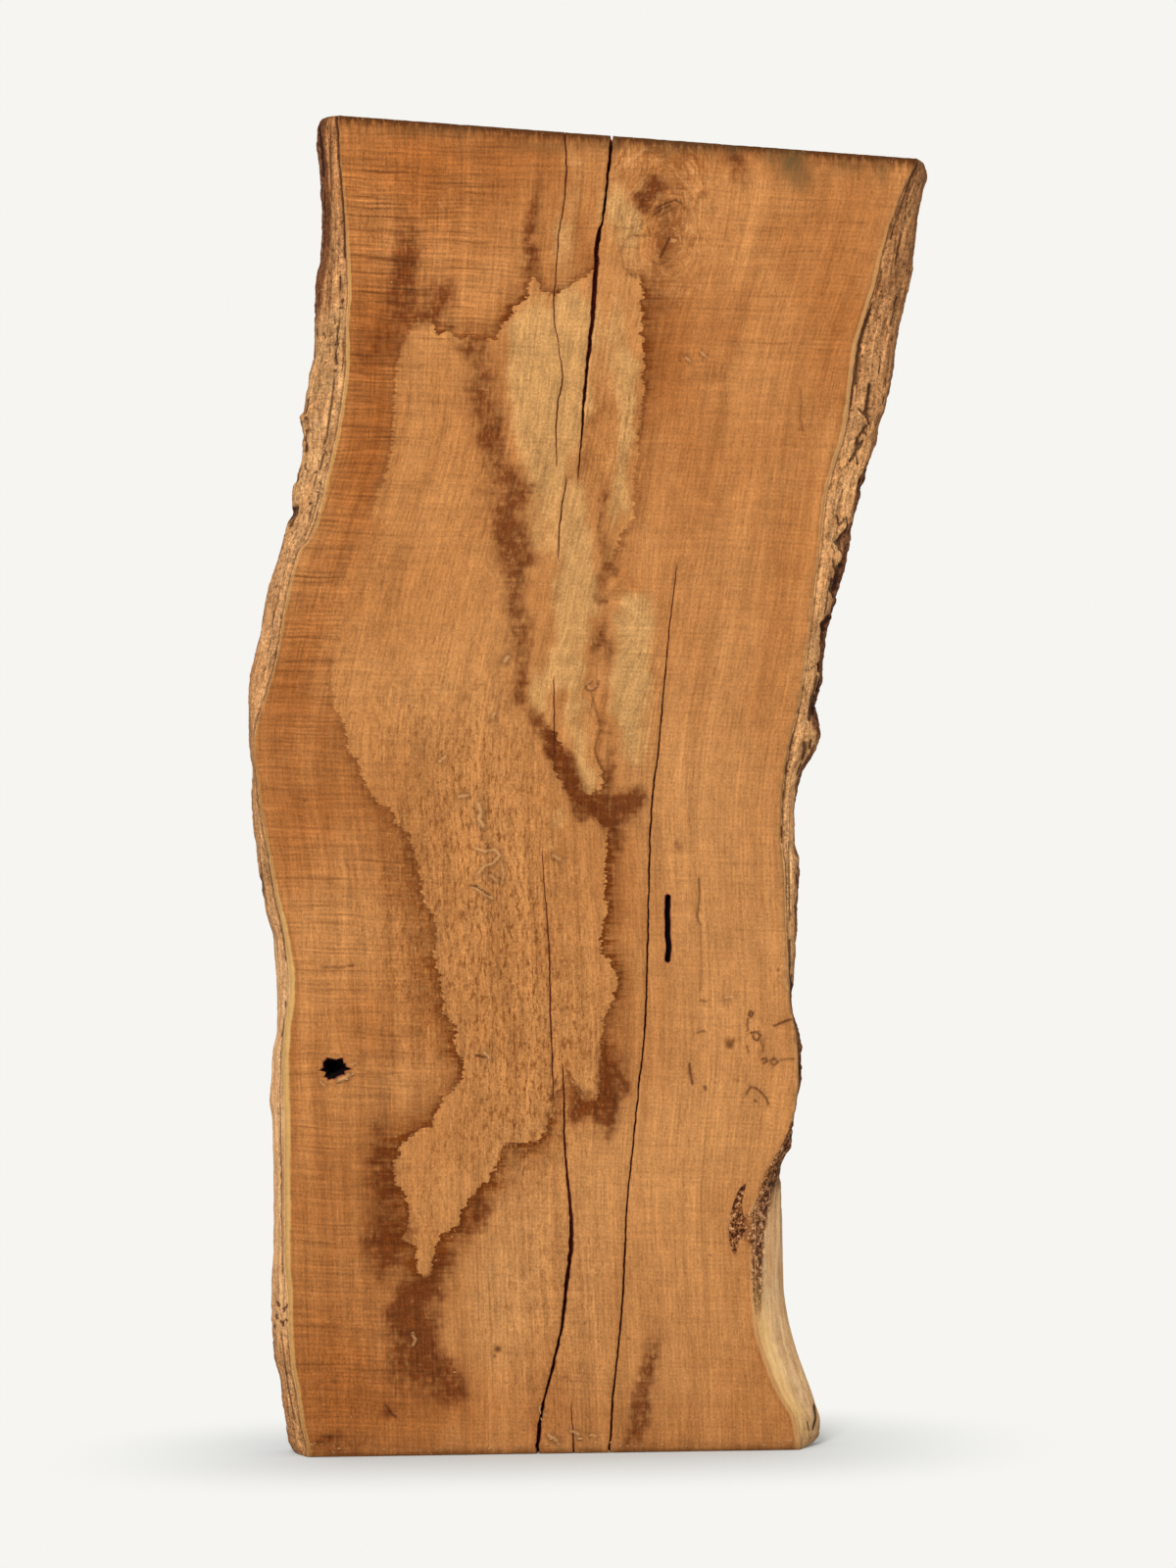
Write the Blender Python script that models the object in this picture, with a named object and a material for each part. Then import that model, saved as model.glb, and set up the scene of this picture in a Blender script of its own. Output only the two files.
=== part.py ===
# A live edge slab of locust wood, standing on its sawn lower end.
#
# The slab is one plank sawn through a crooked trunk: two parallel sawn faces, two sawn ends and two
# natural edges that keep the curve of the trunk, with bark and inner bark still on most of their
# length. It is one solid. What is cut into it is what grew there or what drying did: long checks
# that open towards the ends, a gap where the bark has parted from the wood, a knot hole, an insect's
# gallery and a pocket of ingrown bark.
#
# Frame: +Z up along the plank, -Y is the show face, +X to the right as seen from in front.
# The origin is the middle of the slab's box at the level of the lower end. Everything is in metres,
# except the tables: their points are (down, right) in units of UNIT, read on the show face from a
# corner above and to the left of the slab, and turned by LEAN so that the lower end is level.

import math

import bmesh
import bpy
from mathutils import Vector

# ---------------------------------------------------------------- driving dimensions
UNIT = 0.000877             # metres in one unit of the tables
THICKNESS = 0.0635          # two and a half inches, rough sawn
LOWER_END = (1482.5, -0.0151)   # where the lower end crosses ZERO_RIGHT, and its slope
UPPER_END = (136.6, 0.0748)     # the upper end is sawn out of square and falls to the right
ZERO_RIGHT = 600.0
LEAN = math.atan(0.0151)
WIDEST_AT = 0.66            # share of the thickness, from the front, where the edges stand out most
FRONT_COLUMNS = 7           # facets across a sawn face
EDGE_COLUMNS = 8            # facets across the thickness on a natural edge
STEP = 0.0125               # spacing of the sections along the length

# The natural edges where they stand out most.
LEFT_OUTLINE = [
    (112, 333), (118, 326), (126, 322.5), (140, 322), (164, 325), (188, 326), (212, 328),
    (260, 326), (284, 321), (308, 320), (356, 320), (380, 315), (404, 310), (428, 307), (452, 308),
    (476, 304), (500, 297), (524, 294), (548, 288), (572, 282), (596, 274), (620, 269), (644, 265),
    (668, 259), (692, 254), (716, 253), (764, 254), (788, 257), (812, 256), (836, 257), (860, 260),
    (884, 263), (908, 267), (932, 271), (956, 278), (980, 280), (1004, 282), (1052, 283),
    (1076, 278), (1100, 277), (1124, 275), (1148, 278), (1220, 279), (1268, 279), (1316, 277),
    (1364, 276), (1388, 279), (1412, 285), (1436, 287), (1460, 290), (1476, 293.5), (1484, 297.5),
    (1490, 304),
]
RIGHT_OUTLINE = [
    (156, 936), (162, 943), (175, 946.5), (188, 943), (212, 938), (236, 935), (284, 930),
    (308, 924), (332, 918), (356, 914), (380, 911), (404, 907), (428, 900), (452, 894), (476, 887),
    (500, 880), (524, 874), (548, 869), (572, 866), (596, 858), (620, 853), (644, 845), (668, 842),
    (692, 841), (716, 835), (745, 838), (764, 834), (788, 821), (812, 814), (836, 812), (860, 812),
    (884, 817), (932, 815), (980, 812), (1004, 811), (1028, 809), (1052, 815), (1076, 819),
    (1100, 819), (1124, 815), (1148, 811), (1172, 809), (1184, 801), (1196, 797), (1244, 798),
    (1316, 799), (1340, 802), (1364, 807), (1388, 814), (1412, 823), (1436, 831), (1456, 837),
    (1468, 836), (1476, 831), (1483, 820),
]
# The natural edges where they meet the show face.
LEFT_LIP = [
    (112, 346), (160, 347), (195, 350.5), (244, 354), (299, 356), (330, 354), (370, 354),
    (409, 350), (449, 343), (480, 336), (520, 327), (551, 315.5), (562, 306), (597, 296),
    (638, 288), (670, 283), (707, 272.5), (741, 262), (761, 259), (800, 263), (848, 270),
    (880, 276), (919, 283), (945, 289), (978, 294), (1007, 296), (1047, 291.6), (1083, 289),
    (1112, 290), (1170, 290.6), (1282, 291), (1327, 294), (1356, 295), (1390, 298), (1425, 304),
    (1452, 308), (1490, 315),
]
RIGHT_LIP = [
    (156, 936), (166, 934), (182, 926), (209, 914.5), (251, 901), (292, 891.5), (313, 885),
    (354, 873), (411, 866), (443, 861), (477, 850), (516, 841), (558, 837), (594, 832), (638, 827),
    (680, 821), (720, 815), (757, 806), (795, 800), (827, 797.6), (855, 796.5), (887, 800),
    (923, 801), (980, 803), (1026, 807), (1058, 813), (1100, 815), (1152, 807), (1184, 793),
    (1217, 779), (1238, 770), (1304, 770), (1323, 771), (1356, 774), (1393, 785), (1423, 798),
    (1451, 813), (1483, 816),
]
# How far the edge of the back lies inside the outline, (down, units).
LEFT_BACK = [(112, 7), (400, 9), (700, 11), (1000, 8), (1490, 8)]
RIGHT_BACK = [(156, 6), (500, 8), (750, 9), (1000, 8), (1250, 6), (1483, 7)]
# Height of the bark's own relief, (down, units). The bare edge at the lower right has almost none.
LEFT_ROUGH = [(112, 1.2), (380, 1.8), (600, 0.8), (1100, 0.8), (1490, 1.2)]
RIGHT_ROUGH = [(156, 1.2), (600, 1.8), (700, 2.2), (820, 1.4), (1120, 1.0), (1200, 0.3), (1483, 0.4)]

# Checks in the show face: (down, right, width in units, depth in metres), end to end.
CHECK_UPPER = [
    (118, 624.8, 5.0, 0.038), (138, 624.4, 5.0, 0.038), (182, 620, 4.4, 0.036),
    (219, 615, 4.6, 0.035), (237, 610.6, 4.8, 0.034), (274, 608, 4.2, 0.031), (320, 605, 3.6, 0.028),
    (388, 598, 3.0, 0.022), (461, 592, 1.8, 0.012), (486, 590, 0.7, 0.005),
]
CHECK_LOWER = [
    (1099, 575, 0.8, 0.006), (1161, 576, 1.8, 0.014), (1207, 580, 2.6, 0.020),
    (1241, 582, 3.8, 0.026), (1264, 583, 4.6, 0.029), (1298, 580, 4.8, 0.030),
    (1340, 575, 3.6, 0.030), (1378, 568, 2.8, 0.030), (1410, 560.6, 2.8, 0.031),
    (1440, 553, 3.4, 0.032), (1477, 548.7, 4.2, 0.034), (1500, 546, 4.4, 0.034),
]
CHECK_LONG = [
    (640, 683.5, 0.8, 0.006), (673, 680, 1.2, 0.009), (718, 676, 1.6, 0.013),
    (764, 672, 1.8, 0.016), (818, 665.6, 1.9, 0.018), (864, 663, 2.0, 0.019), (955, 661, 2.1, 0.020),
    (1054, 657.6, 2.1, 0.022), (1108, 652, 2.1, 0.022), (1163, 646.7, 2.1, 0.023),
    (1249, 639, 2.2, 0.024), (1356, 633, 2.2, 0.025), (1410, 627, 2.2, 0.026),
    (1477, 622, 2.3, 0.026), (1500, 620.5, 2.3, 0.026),
]
BARK_GAP = [
    (308, 891, 0.8, 0.005), (342, 882, 2.8, 0.014), (384, 874.5, 3.2, 0.018),
    (410, 871, 2.4, 0.014), (430, 868, 0.8, 0.005),
]
GALLERY = [
    (912, 681.7, 2.6, 0.009), (917, 681.7, 5.6, 0.016), (948, 681.9, 6.2, 0.018),
    (977, 681.7, 5.6, 0.016), (982, 681.7, 2.6, 0.009),
]
BARK_POCKET = [
    (1208, 762, 3.0, 0.004), (1222, 752.5, 6.0, 0.008), (1243, 749.5, 7.5, 0.010),
    (1260, 751, 6.0, 0.008), (1275, 750.5, 3.0, 0.004),
]
# The knot hole's centre, half width and half height in units, and its depth.
KNOT_HOLE = dict(down=1091.0, right=340.5, half_w=13.5, half_h=10.0, depth=0.034, sides=14)

FRONT_Y = -THICKNESS / 2


# ---------------------------------------------------------------- helpers
def along_table(table, down):
    """Value of a (down, value) table, on a smooth curve through its points that never overshoots."""
    at = [p[0] for p in table]
    vs = [p[1] for p in table]
    if down <= at[0]:
        return vs[0]
    if down >= at[-1]:
        return vs[-1]
    i = max(k for k in range(len(at) - 1) if at[k] <= down)

    def slope(k):
        if k == 0 or k == len(at) - 1:
            return 0.0
        a = (vs[k] - vs[k - 1]) / (at[k] - at[k - 1])
        b = (vs[k + 1] - vs[k]) / (at[k + 1] - at[k])
        return 0.0 if a * b <= 0 else 2 * a * b / (a + b)

    span = at[i + 1] - at[i]
    t = (down - at[i]) / span
    return (
        (2 * t**3 - 3 * t**2 + 1) * vs[i]
        + (t**3 - 2 * t**2 + t) * span * slope(i)
        + (-2 * t**3 + 3 * t**2) * vs[i + 1]
        + (t**3 - t**2) * span * slope(i + 1)
    )


def end_line(end, right):
    """How far down a sawn end is at a place along it."""
    return end[0] + end[1] * (right - ZERO_RIGHT)


def bark_relief(down, across, side):
    """Low ridges that run along the trunk and lean into each other, from -1 to 1."""
    a = math.sin(2 * math.pi * (across * 2.2 + 0.9 * math.sin(down / 70 + side)) + 0.7)
    b = math.sin(down / 19.0 + 5.0 * across + 1.7 * side)
    c = math.sin(down / 10.6 - 3.0 * across + 0.6 * side)
    return 0.5 * a + 0.32 * b + 0.18 * c


def edge_right(down, across, side):
    """Where a natural edge is. across runs from 0 at the show face to 1 at the back."""
    left = side < 0
    outline = along_table(LEFT_OUTLINE if left else RIGHT_OUTLINE, down)
    lip = along_table(LEFT_LIP if left else RIGHT_LIP, down)
    if across <= WIDEST_AT:
        inset = side * (outline - lip) * (1 - across / WIDEST_AT) ** 1.6
    else:
        inset = along_table(LEFT_BACK if left else RIGHT_BACK, down) * (
            (across - WIDEST_AT) / (1 - WIDEST_AT)
        ) ** 1.9
    rough = along_table(LEFT_ROUGH if left else RIGHT_ROUGH, down) * min(1.0, 4 * across)
    return outline - side * inset + side * rough * bark_relief(down, across, side)


def in_frame(down, right, y):
    """A table's point in metres, turned so that the lower end is level at z = 0."""
    u = (right - ZERO_RIGHT) * UNIT
    v = (LOWER_END[0] - down) * UNIT
    return Vector((
        u * math.cos(LEAN) + v * math.sin(LEAN),
        y,
        v * math.cos(LEAN) - u * math.sin(LEAN),
    ))


def section(share):
    """The closed loop of one cross-section, from share 0 at the lower end to 1 at the upper."""

    def placed(side, across):
        right = ZERO_RIGHT + side * 250
        for _ in range(5):
            down = (1 - share) * end_line(LOWER_END, right) + share * end_line(UPPER_END, right)
            right = edge_right(down, across, side)
        point = in_frame(down, right, FRONT_Y + across * THICKNESS)
        if share == 0:
            point.z = 0
        return point

    def between(a, b, n):
        return [a.lerp(b, k / n) for k in range(1, n)]

    right = [placed(1, k / EDGE_COLUMNS) for k in range(EDGE_COLUMNS + 1)]
    left = [placed(-1, 1 - k / EDGE_COLUMNS) for k in range(EDGE_COLUMNS + 1)]
    return [
        *right,
        *between(right[-1], left[0], FRONT_COLUMNS),
        *left,
        *between(left[-1], right[0], FRONT_COLUMNS),
    ]


def section_shares():
    """Even sections, with closer ones where the corners of the ends are rounded off."""
    total = 1.17
    near = [0.0, 0.002, 0.005, 0.009, 0.014, 0.021]
    count = round((total - 2 * near[-1]) / STEP)
    middle = [near[-1] + (total - 2 * near[-1]) * k / count for k in range(1, count)]
    heights = near + middle + [total - h for h in reversed(near)]
    return [h / total for h in heights]


def loft(name, loops):
    """A mesh object through loops of equal count, closed round each loop and at both ends."""
    bm = bmesh.new()
    rings = [[bm.verts.new(p) for p in loop] for loop in loops]
    n = len(rings[0])
    for low, high in zip(rings, rings[1:]):
        for k in range(n):
            bm.faces.new((low[k], low[(k + 1) % n], high[(k + 1) % n], high[k]))
    bm.faces.new(list(reversed(rings[0])))
    bm.faces.new(rings[-1])
    bmesh.ops.recalc_face_normals(bm, faces=bm.faces)
    mesh = bpy.data.meshes.new(name)
    bm.to_mesh(mesh)
    bm.free()
    return bpy.data.objects.new(name, mesh)


def wedge(name, stations):
    """A cutter with a V section that follows a check along the show face."""
    proud = 0.004
    loops = []
    for down, right, width, depth in stations:
        mouth = in_frame(down, right, FRONT_Y) - MIDDLE
        spread = width * UNIT / 2 * (1 + proud / max(depth, 0.008))
        root = 0.10 * width * UNIT
        loops.append([
            mouth + Vector((-spread, -proud, 0)),
            mouth + Vector((spread, -proud, 0)),
            mouth + Vector((root, depth, 0)),
            mouth + Vector((-root, depth, 0)),
        ])
    return loft(name, loops)


def knot_cutter(name):
    """A ragged funnel, wide at the show face, that narrows and droops into the wood."""
    k = KNOT_HOLE
    depths = [
        (-0.004, 1.02, 0.0), (0.0005, 1.0, 0.0), (0.005, 0.78, 0.7), (0.014, 0.60, 2.5),
        (0.025, 0.48, 5.0), (k["depth"], 0.22, 8.0),
    ]
    loops = []
    for depth, share, drop in depths:
        ring = []
        for s in range(k["sides"]):
            angle = 2 * math.pi * s / k["sides"]
            ragged = share * (1 + 0.20 * math.sin(2 * angle + 0.6) + 0.13 * math.sin(5 * angle + 1.1))
            ring.append(in_frame(
                k["down"] + drop - k["half_h"] * ragged * math.sin(angle),
                k["right"] + k["half_w"] * ragged * math.cos(angle),
                FRONT_Y + depth,
            ) - MIDDLE)
        loops.append(ring)
    return loft(name, loops)


def principled(name, colour, roughness):
    material = bpy.data.materials.new(name)
    material.use_nodes = True
    shader = material.node_tree.nodes["Principled BSDF"]
    shader.inputs["Base Color"].default_value = (*colour, 1)
    shader.inputs["Roughness"].default_value = roughness
    shader.inputs["Metallic"].default_value = 0.0
    return material


# ---------------------------------------------------------------- the model
for old in list(bpy.data.objects):
    bpy.data.objects.remove(old, do_unlink=True)

slab_collection = bpy.data.collections.new("live_edge_locust_slab")
cutter_collection = bpy.data.collections.new("cutters")
bpy.context.scene.collection.children.link(slab_collection)
bpy.context.scene.collection.children.link(cutter_collection)

loops = [section(s) for s in section_shares()]
every_x = [p.x for loop in loops for p in loop]
MIDDLE = Vector(((min(every_x) + max(every_x)) / 2, 0, 0))
loops = [[p - MIDDLE for p in loop] for loop in loops]

slab = loft("live_edge_slab", loops)
slab_collection.objects.link(slab)

cutters = [
    wedge("cut_check_upper", CHECK_UPPER),
    wedge("cut_check_lower", CHECK_LOWER),
    wedge("cut_check_long", CHECK_LONG),
    wedge("cut_bark_gap", BARK_GAP),
    wedge("cut_gallery", GALLERY),
    wedge("cut_bark_pocket", BARK_POCKET),
    knot_cutter("cut_knot_hole"),
]
for cutter in cutters:
    cutter_collection.objects.link(cutter)
    cutter.hide_render = True
    cutter.display_type = "WIRE"
    cut = slab.modifiers.new(cutter.name, "BOOLEAN")
    cut.operation = "DIFFERENCE"
    cut.solver = "EXACT"
    cut.object = cutter

slab.data.shade_smooth()
slab.data.set_sharp_from_angle(angle=math.radians(35))
slab.data.materials.append(principled("locust_wood", (0.52, 0.22, 0.07), 0.62))
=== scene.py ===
# The looks of a live edge locust slab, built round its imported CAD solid.
#
# The slab is one closed mesh that stands for the CAD node. Its two sawn faces are fine triangle
# nets with the drying checks, the knot hole, the insect's gallery and the small bored tracks cut
# into them. Its natural edges are fine grids with bark, inner bark and bare sapwood modelled in
# relief. The stains, grain and saw lines are procedural, steered by numbers kept on the vertices.
#
# Places on the show face are (right, down) in units of UNIT metres, from a corner above and to the
# left of the slab, as in the CAD source.

import math

import bmesh
import bpy
import numpy as np
from mathutils import Matrix, Vector
from mathutils.geometry import delaunay_2d_cdt


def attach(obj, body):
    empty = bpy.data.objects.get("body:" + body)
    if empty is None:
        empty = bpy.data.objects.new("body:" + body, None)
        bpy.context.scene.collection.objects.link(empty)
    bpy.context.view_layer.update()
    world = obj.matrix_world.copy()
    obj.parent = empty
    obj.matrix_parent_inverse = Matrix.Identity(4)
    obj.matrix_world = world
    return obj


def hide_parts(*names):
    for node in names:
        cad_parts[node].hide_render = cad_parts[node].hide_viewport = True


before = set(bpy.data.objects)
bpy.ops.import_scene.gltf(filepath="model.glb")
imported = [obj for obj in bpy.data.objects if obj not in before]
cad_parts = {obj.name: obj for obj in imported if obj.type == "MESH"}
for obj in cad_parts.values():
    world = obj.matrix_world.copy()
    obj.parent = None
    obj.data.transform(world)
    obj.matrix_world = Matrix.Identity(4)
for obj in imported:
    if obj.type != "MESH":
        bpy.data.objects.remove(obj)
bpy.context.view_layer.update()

# ================================================================ shape of the slab
UNIT = 0.000877
THICKNESS = 0.0635
FRONT_Y = -THICKNESS / 2
DEEP = THICKNESS / UNIT          # the thickness in units
LOWER_END = (1482.5, -0.0151)
UPPER_END = (136.6, 0.0748)
ZERO_RIGHT = 600.0
LEAN = math.atan(0.0151)
WIDEST_AT = 0.66
MIDDLE = 0.013752
VIEW_DISTANCE = 5.0

LEFT_OUTLINE = [
    (112, 333), (118, 326), (126, 322.5), (140, 322), (164, 325), (188, 326), (212, 328),
    (260, 326), (284, 321), (308, 320), (356, 320), (380, 315), (404, 310), (428, 307), (452, 308),
    (476, 304), (500, 297), (524, 294), (548, 288), (572, 282), (596, 274), (620, 269), (644, 265),
    (668, 259), (692, 254), (716, 253), (764, 254), (788, 257), (812, 256), (836, 257), (860, 260),
    (884, 263), (908, 267), (932, 271), (956, 278), (980, 280), (1004, 282), (1052, 283),
    (1076, 278), (1100, 277), (1124, 275), (1148, 278), (1220, 279), (1268, 279), (1316, 277),
    (1364, 276), (1388, 279), (1412, 285), (1436, 287), (1460, 290), (1476, 293.5), (1484, 297.5),
    (1490, 304),
]
RIGHT_OUTLINE = [
    (156, 936), (162, 943), (175, 946.5), (188, 943), (212, 938), (236, 935), (284, 930),
    (308, 924), (332, 918), (356, 914), (380, 911), (404, 907), (428, 900), (452, 894), (476, 887),
    (500, 880), (524, 874), (548, 869), (572, 866), (596, 858), (620, 853), (644, 845), (668, 842),
    (692, 841), (716, 835), (745, 838), (764, 834), (788, 821), (812, 814), (836, 812), (860, 812),
    (884, 817), (932, 815), (980, 812), (1004, 811), (1028, 809), (1052, 815), (1076, 819),
    (1100, 819), (1124, 815), (1148, 811), (1172, 809), (1184, 801), (1196, 797), (1244, 798),
    (1316, 799), (1340, 802), (1364, 807), (1388, 814), (1412, 823), (1436, 831), (1456, 837),
    (1468, 836), (1476, 831), (1483, 820),
]
LEFT_LIP = [
    (112, 346), (160, 347), (195, 350.5), (244, 354), (299, 356), (330, 354), (370, 354),
    (409, 350), (449, 343), (480, 336), (520, 327), (551, 315.5), (562, 306), (597, 296),
    (638, 288), (670, 283), (707, 272.5), (741, 262), (761, 259), (800, 263), (848, 270),
    (880, 276), (919, 283), (945, 289), (978, 294), (1007, 296), (1047, 291.6), (1083, 289),
    (1112, 290), (1170, 290.6), (1282, 291), (1327, 294), (1356, 295), (1390, 298), (1425, 304),
    (1452, 308), (1490, 315),
]
RIGHT_LIP = [
    (156, 936), (166, 934), (182, 926), (209, 914.5), (251, 901), (292, 891.5), (313, 885),
    (354, 873), (411, 866), (443, 861), (477, 850), (516, 841), (558, 837), (594, 832), (638, 827),
    (680, 821), (720, 815), (757, 806), (795, 800), (827, 797.6), (855, 796.5), (887, 800),
    (923, 801), (980, 803), (1026, 807), (1058, 813), (1100, 815), (1152, 807), (1184, 793),
    (1217, 779), (1238, 770), (1304, 770), (1323, 771), (1356, 774), (1393, 785), (1423, 798),
    (1451, 813), (1483, 816),
]
LEFT_BACK = [(112, 7), (400, 9), (700, 11), (1000, 8), (1490, 8)]
RIGHT_BACK = [(156, 6), (500, 8), (750, 9), (1000, 8), (1250, 6), (1483, 7)]

# ---------------------------------------------------------------- checks, holes and tracks
# Each check is a list of (down, right, width, depth in mm).
CHECKS = {
    "upper": [
        (130, 624.6, 3.4, 38), (182, 620, 3.2, 36), (214, 616.2, 3.2, 35), (227, 614.6, 2.2, 33),
        (233, 611.8, 3.4, 33), (240, 610.6, 5.6, 34), (274, 608, 5.2, 32), (320, 605, 5.0, 29),
        (354, 601.4, 4.4, 26), (388, 598, 3.6, 23), (430, 594.5, 2.8, 18), (461, 592, 1.8, 12),
        (490, 589.6, 0.8, 4),
    ],
    "lower": [
        (1086, 574, 0.9, 4), (1112, 575.2, 1.5, 9), (1161, 576, 2.0, 16), (1207, 580, 2.8, 22),
        (1241, 582.4, 4.2, 28), (1268, 583, 5.2, 31), (1298, 580, 5.2, 32), (1340, 575, 3.8, 31),
        (1357, 572.5, 2.6, 30), (1378, 568, 3.2, 31), (1410, 560.6, 3.2, 32), (1440, 553, 3.8, 33),
        (1477, 548.7, 4.6, 34), (1495, 546.5, 4.6, 34),
    ],
    "long": [
        (575, 690, 0.7, 3), (627, 684.6, 0.9, 6), (673, 680, 1.1, 8), (718, 676, 1.3, 11),
        (764, 672, 1.5, 14), (818, 665.6, 1.7, 17), (864, 663, 1.8, 19), (910, 662, 1.8, 20),
        (955, 661, 1.9, 20), (1000, 660, 1.9, 20), (1054, 657.6, 1.8, 20), (1108, 652, 1.7, 20),
        (1163, 646.7, 1.6, 21), (1206, 642, 1.6, 22), (1249, 639, 1.7, 23), (1293, 637, 1.8, 24),
        (1356, 633, 1.8, 24), (1410, 627, 1.9, 25), (1477, 622, 2.1, 26), (1495, 620.5, 2.1, 26),
    ],
}
# Hair cracks, (down, right, width, depth in mm).
HAIRS = [
    [(128, 576, 1.3, 8), (170, 578, 1.4, 8), (205, 576, 1.1, 7), (239, 570, 0.9, 5),
     (285, 567, 0.9, 5), (320, 565, 1.1, 5), (354, 570, 0.8, 3)],
    [(350, 570, 0.7, 3), (384, 574, 1.1, 5), (411, 569.5, 1.2, 6), (434, 567.5, 1.1, 5),
     (477, 568, 0.7, 3)],
    [(486, 578, 0.7, 3), (512, 574, 1.3, 6), (549, 570.5, 1.1, 5), (572, 570, 0.6, 2)],
    [(690, 565, 0.9, 3), (730, 565.6, 1.2, 5), (775, 566, 0.7, 3)],
    [(868, 553.5, 0.6, 2), (932, 558, 1.1, 5), (978, 560.6, 1.3, 6), (1033, 561.7, 1.4, 7),
     (1092, 563.7, 1.3, 6), (1122, 565, 0.7, 3)],
    [(1432, 583, 0.6, 2), (1462, 585, 1.4, 6), (1495, 586, 2.2, 10)],
]
# Small tracks and marks, (points (right, down), width, depth in mm, darkness).
TRACKS = [
    ([(713, 896), (714, 914), (712.5, 926), (711.5, 934), (713, 941), (715, 944)], 1.3, 0.8, 0.55),
    ([(715, 944), (715, 962), (715.5, 985), (714.5, 1012)], 0.9, 0.4, 0.30),
    ([(703.5, 1086), (704.5, 1095), (706.5, 1106)], 1.9, 0.9, 0.75),
    ([(766, 1032), (768.5, 1034), (767, 1037.5), (764, 1036), (765, 1032.5)], 1.0, 0.6, 0.65),
    ([(763, 1040), (762.5, 1046), (763.5, 1051)], 1.0, 0.5, 0.6),
    ([(766, 1054), (772, 1053), (776, 1057), (773, 1062), (769, 1060), (768, 1056)], 1.0, 0.7, 0.7),
    ([(776, 1062), (779, 1068), (778, 1073)], 0.9, 0.4, 0.5),
    ([(762, 1067), (764, 1074)], 1.2, 0.5, 0.5),
    ([(777, 1081), (781, 1080), (783, 1083), (779, 1085)], 1.1, 0.6, 0.7),
    ([(786, 1083), (790, 1080), (794, 1084), (790, 1087), (787, 1085)], 1.1, 0.6, 0.6),
    ([(796, 1082), (806, 1080.5), (812, 1081)], 1.0, 0.4, 0.4),
    ([(762, 1116), (766, 1109), (772, 1111), (777, 1115), (782, 1121), (784, 1127)], 1.2, 0.7, 0.6),
    ([(770, 1123), (772, 1124)], 1.4, 0.7, 0.6),
    ([(790, 1047), (797, 1044), (803, 1041.5), (808, 1040)], 1.6, 0.8, 0.75),
    ([(719, 1109), (720, 1112)], 2.0, 0.7, 0.6),
    ([(712, 1054), (717, 1052), (720, 1053)], 1.1, 0.5, 0.5),
    ([(715, 1021), (721, 1022)], 1.1, 0.4, 0.5),
    ([(604, 696), (600, 698), (597, 702), (601, 705), (606, 704), (610, 700), (611, 695)], 1.2, 0.6, 0.5),
    ([(603, 705), (606, 716), (609, 727), (612, 740), (612, 748), (609, 756)], 0.9, 0.4, 0.35),
    ([(612, 744), (617, 748), (623, 748)], 0.9, 0.4, 0.35),
    ([(609, 756), (607, 765), (610, 775), (615, 786), (617, 800)], 1.1, 0.3, 0.45),
    ([(660, 240), (646, 240), (637, 246), (634, 258), (636, 272), (645, 281), (652, 284)], 1.0, 0.2, 0.34),
    ([(630, 232), (643, 233), (656, 230)], 0.9, 0.2, 0.28),
    ([(667, 268), (674, 270), (682, 266)], 1.0, 0.3, 0.45),
    ([(690, 204), (696, 208)], 1.3, 0.4, 0.55),
    ([(672, 222), (679, 217), (686, 214)], 1.0, 0.3, 0.45),
    ([(331, 987), (344, 987.5), (352, 987)], 0.9, 0.3, 0.45),
    ([(356, 986), (360, 985)], 2.0, 0.5, 0.5),
    ([(374, 1094), (392, 1096), (410, 1094.5)], 1.0, 0.3, 0.3),
    ([(480, 904), (488, 905), (493, 910), (500, 914)], 1.6, 0.9, 0.7),
    ([(486, 1077), (496, 1079)], 1.8, 0.8, 0.75),
    ([(674, 263), (679, 252), (683, 243)], 1.3, 0.8, 0.8),
    ([(671, 212), (680, 207), (690, 204)], 1.6, 0.6, 0.75),
    ([(668, 219), (676, 213), (684, 210)], 1.2, 0.5, 0.6),
    ([(817, 398), (817.5, 412), (816.5, 428), (820, 440)], 0.9, 0.3, 0.35),
    ([(570, 1408), (578, 1405), (584, 1410), (586, 1424), (584, 1436)], 0.8, 0.2, 0.25),
    ([(394, 1434), (399, 1442), (404, 1446)], 2.0, 0.3, 0.6),
    ([(565, 1124), (563, 1112), (566, 1104)], 0.9, 0.4, 0.5),
    ([(597, 1120), (590, 1110), (583, 1098), (577, 1090)], 0.9, 0.4, 0.4),
]
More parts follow.
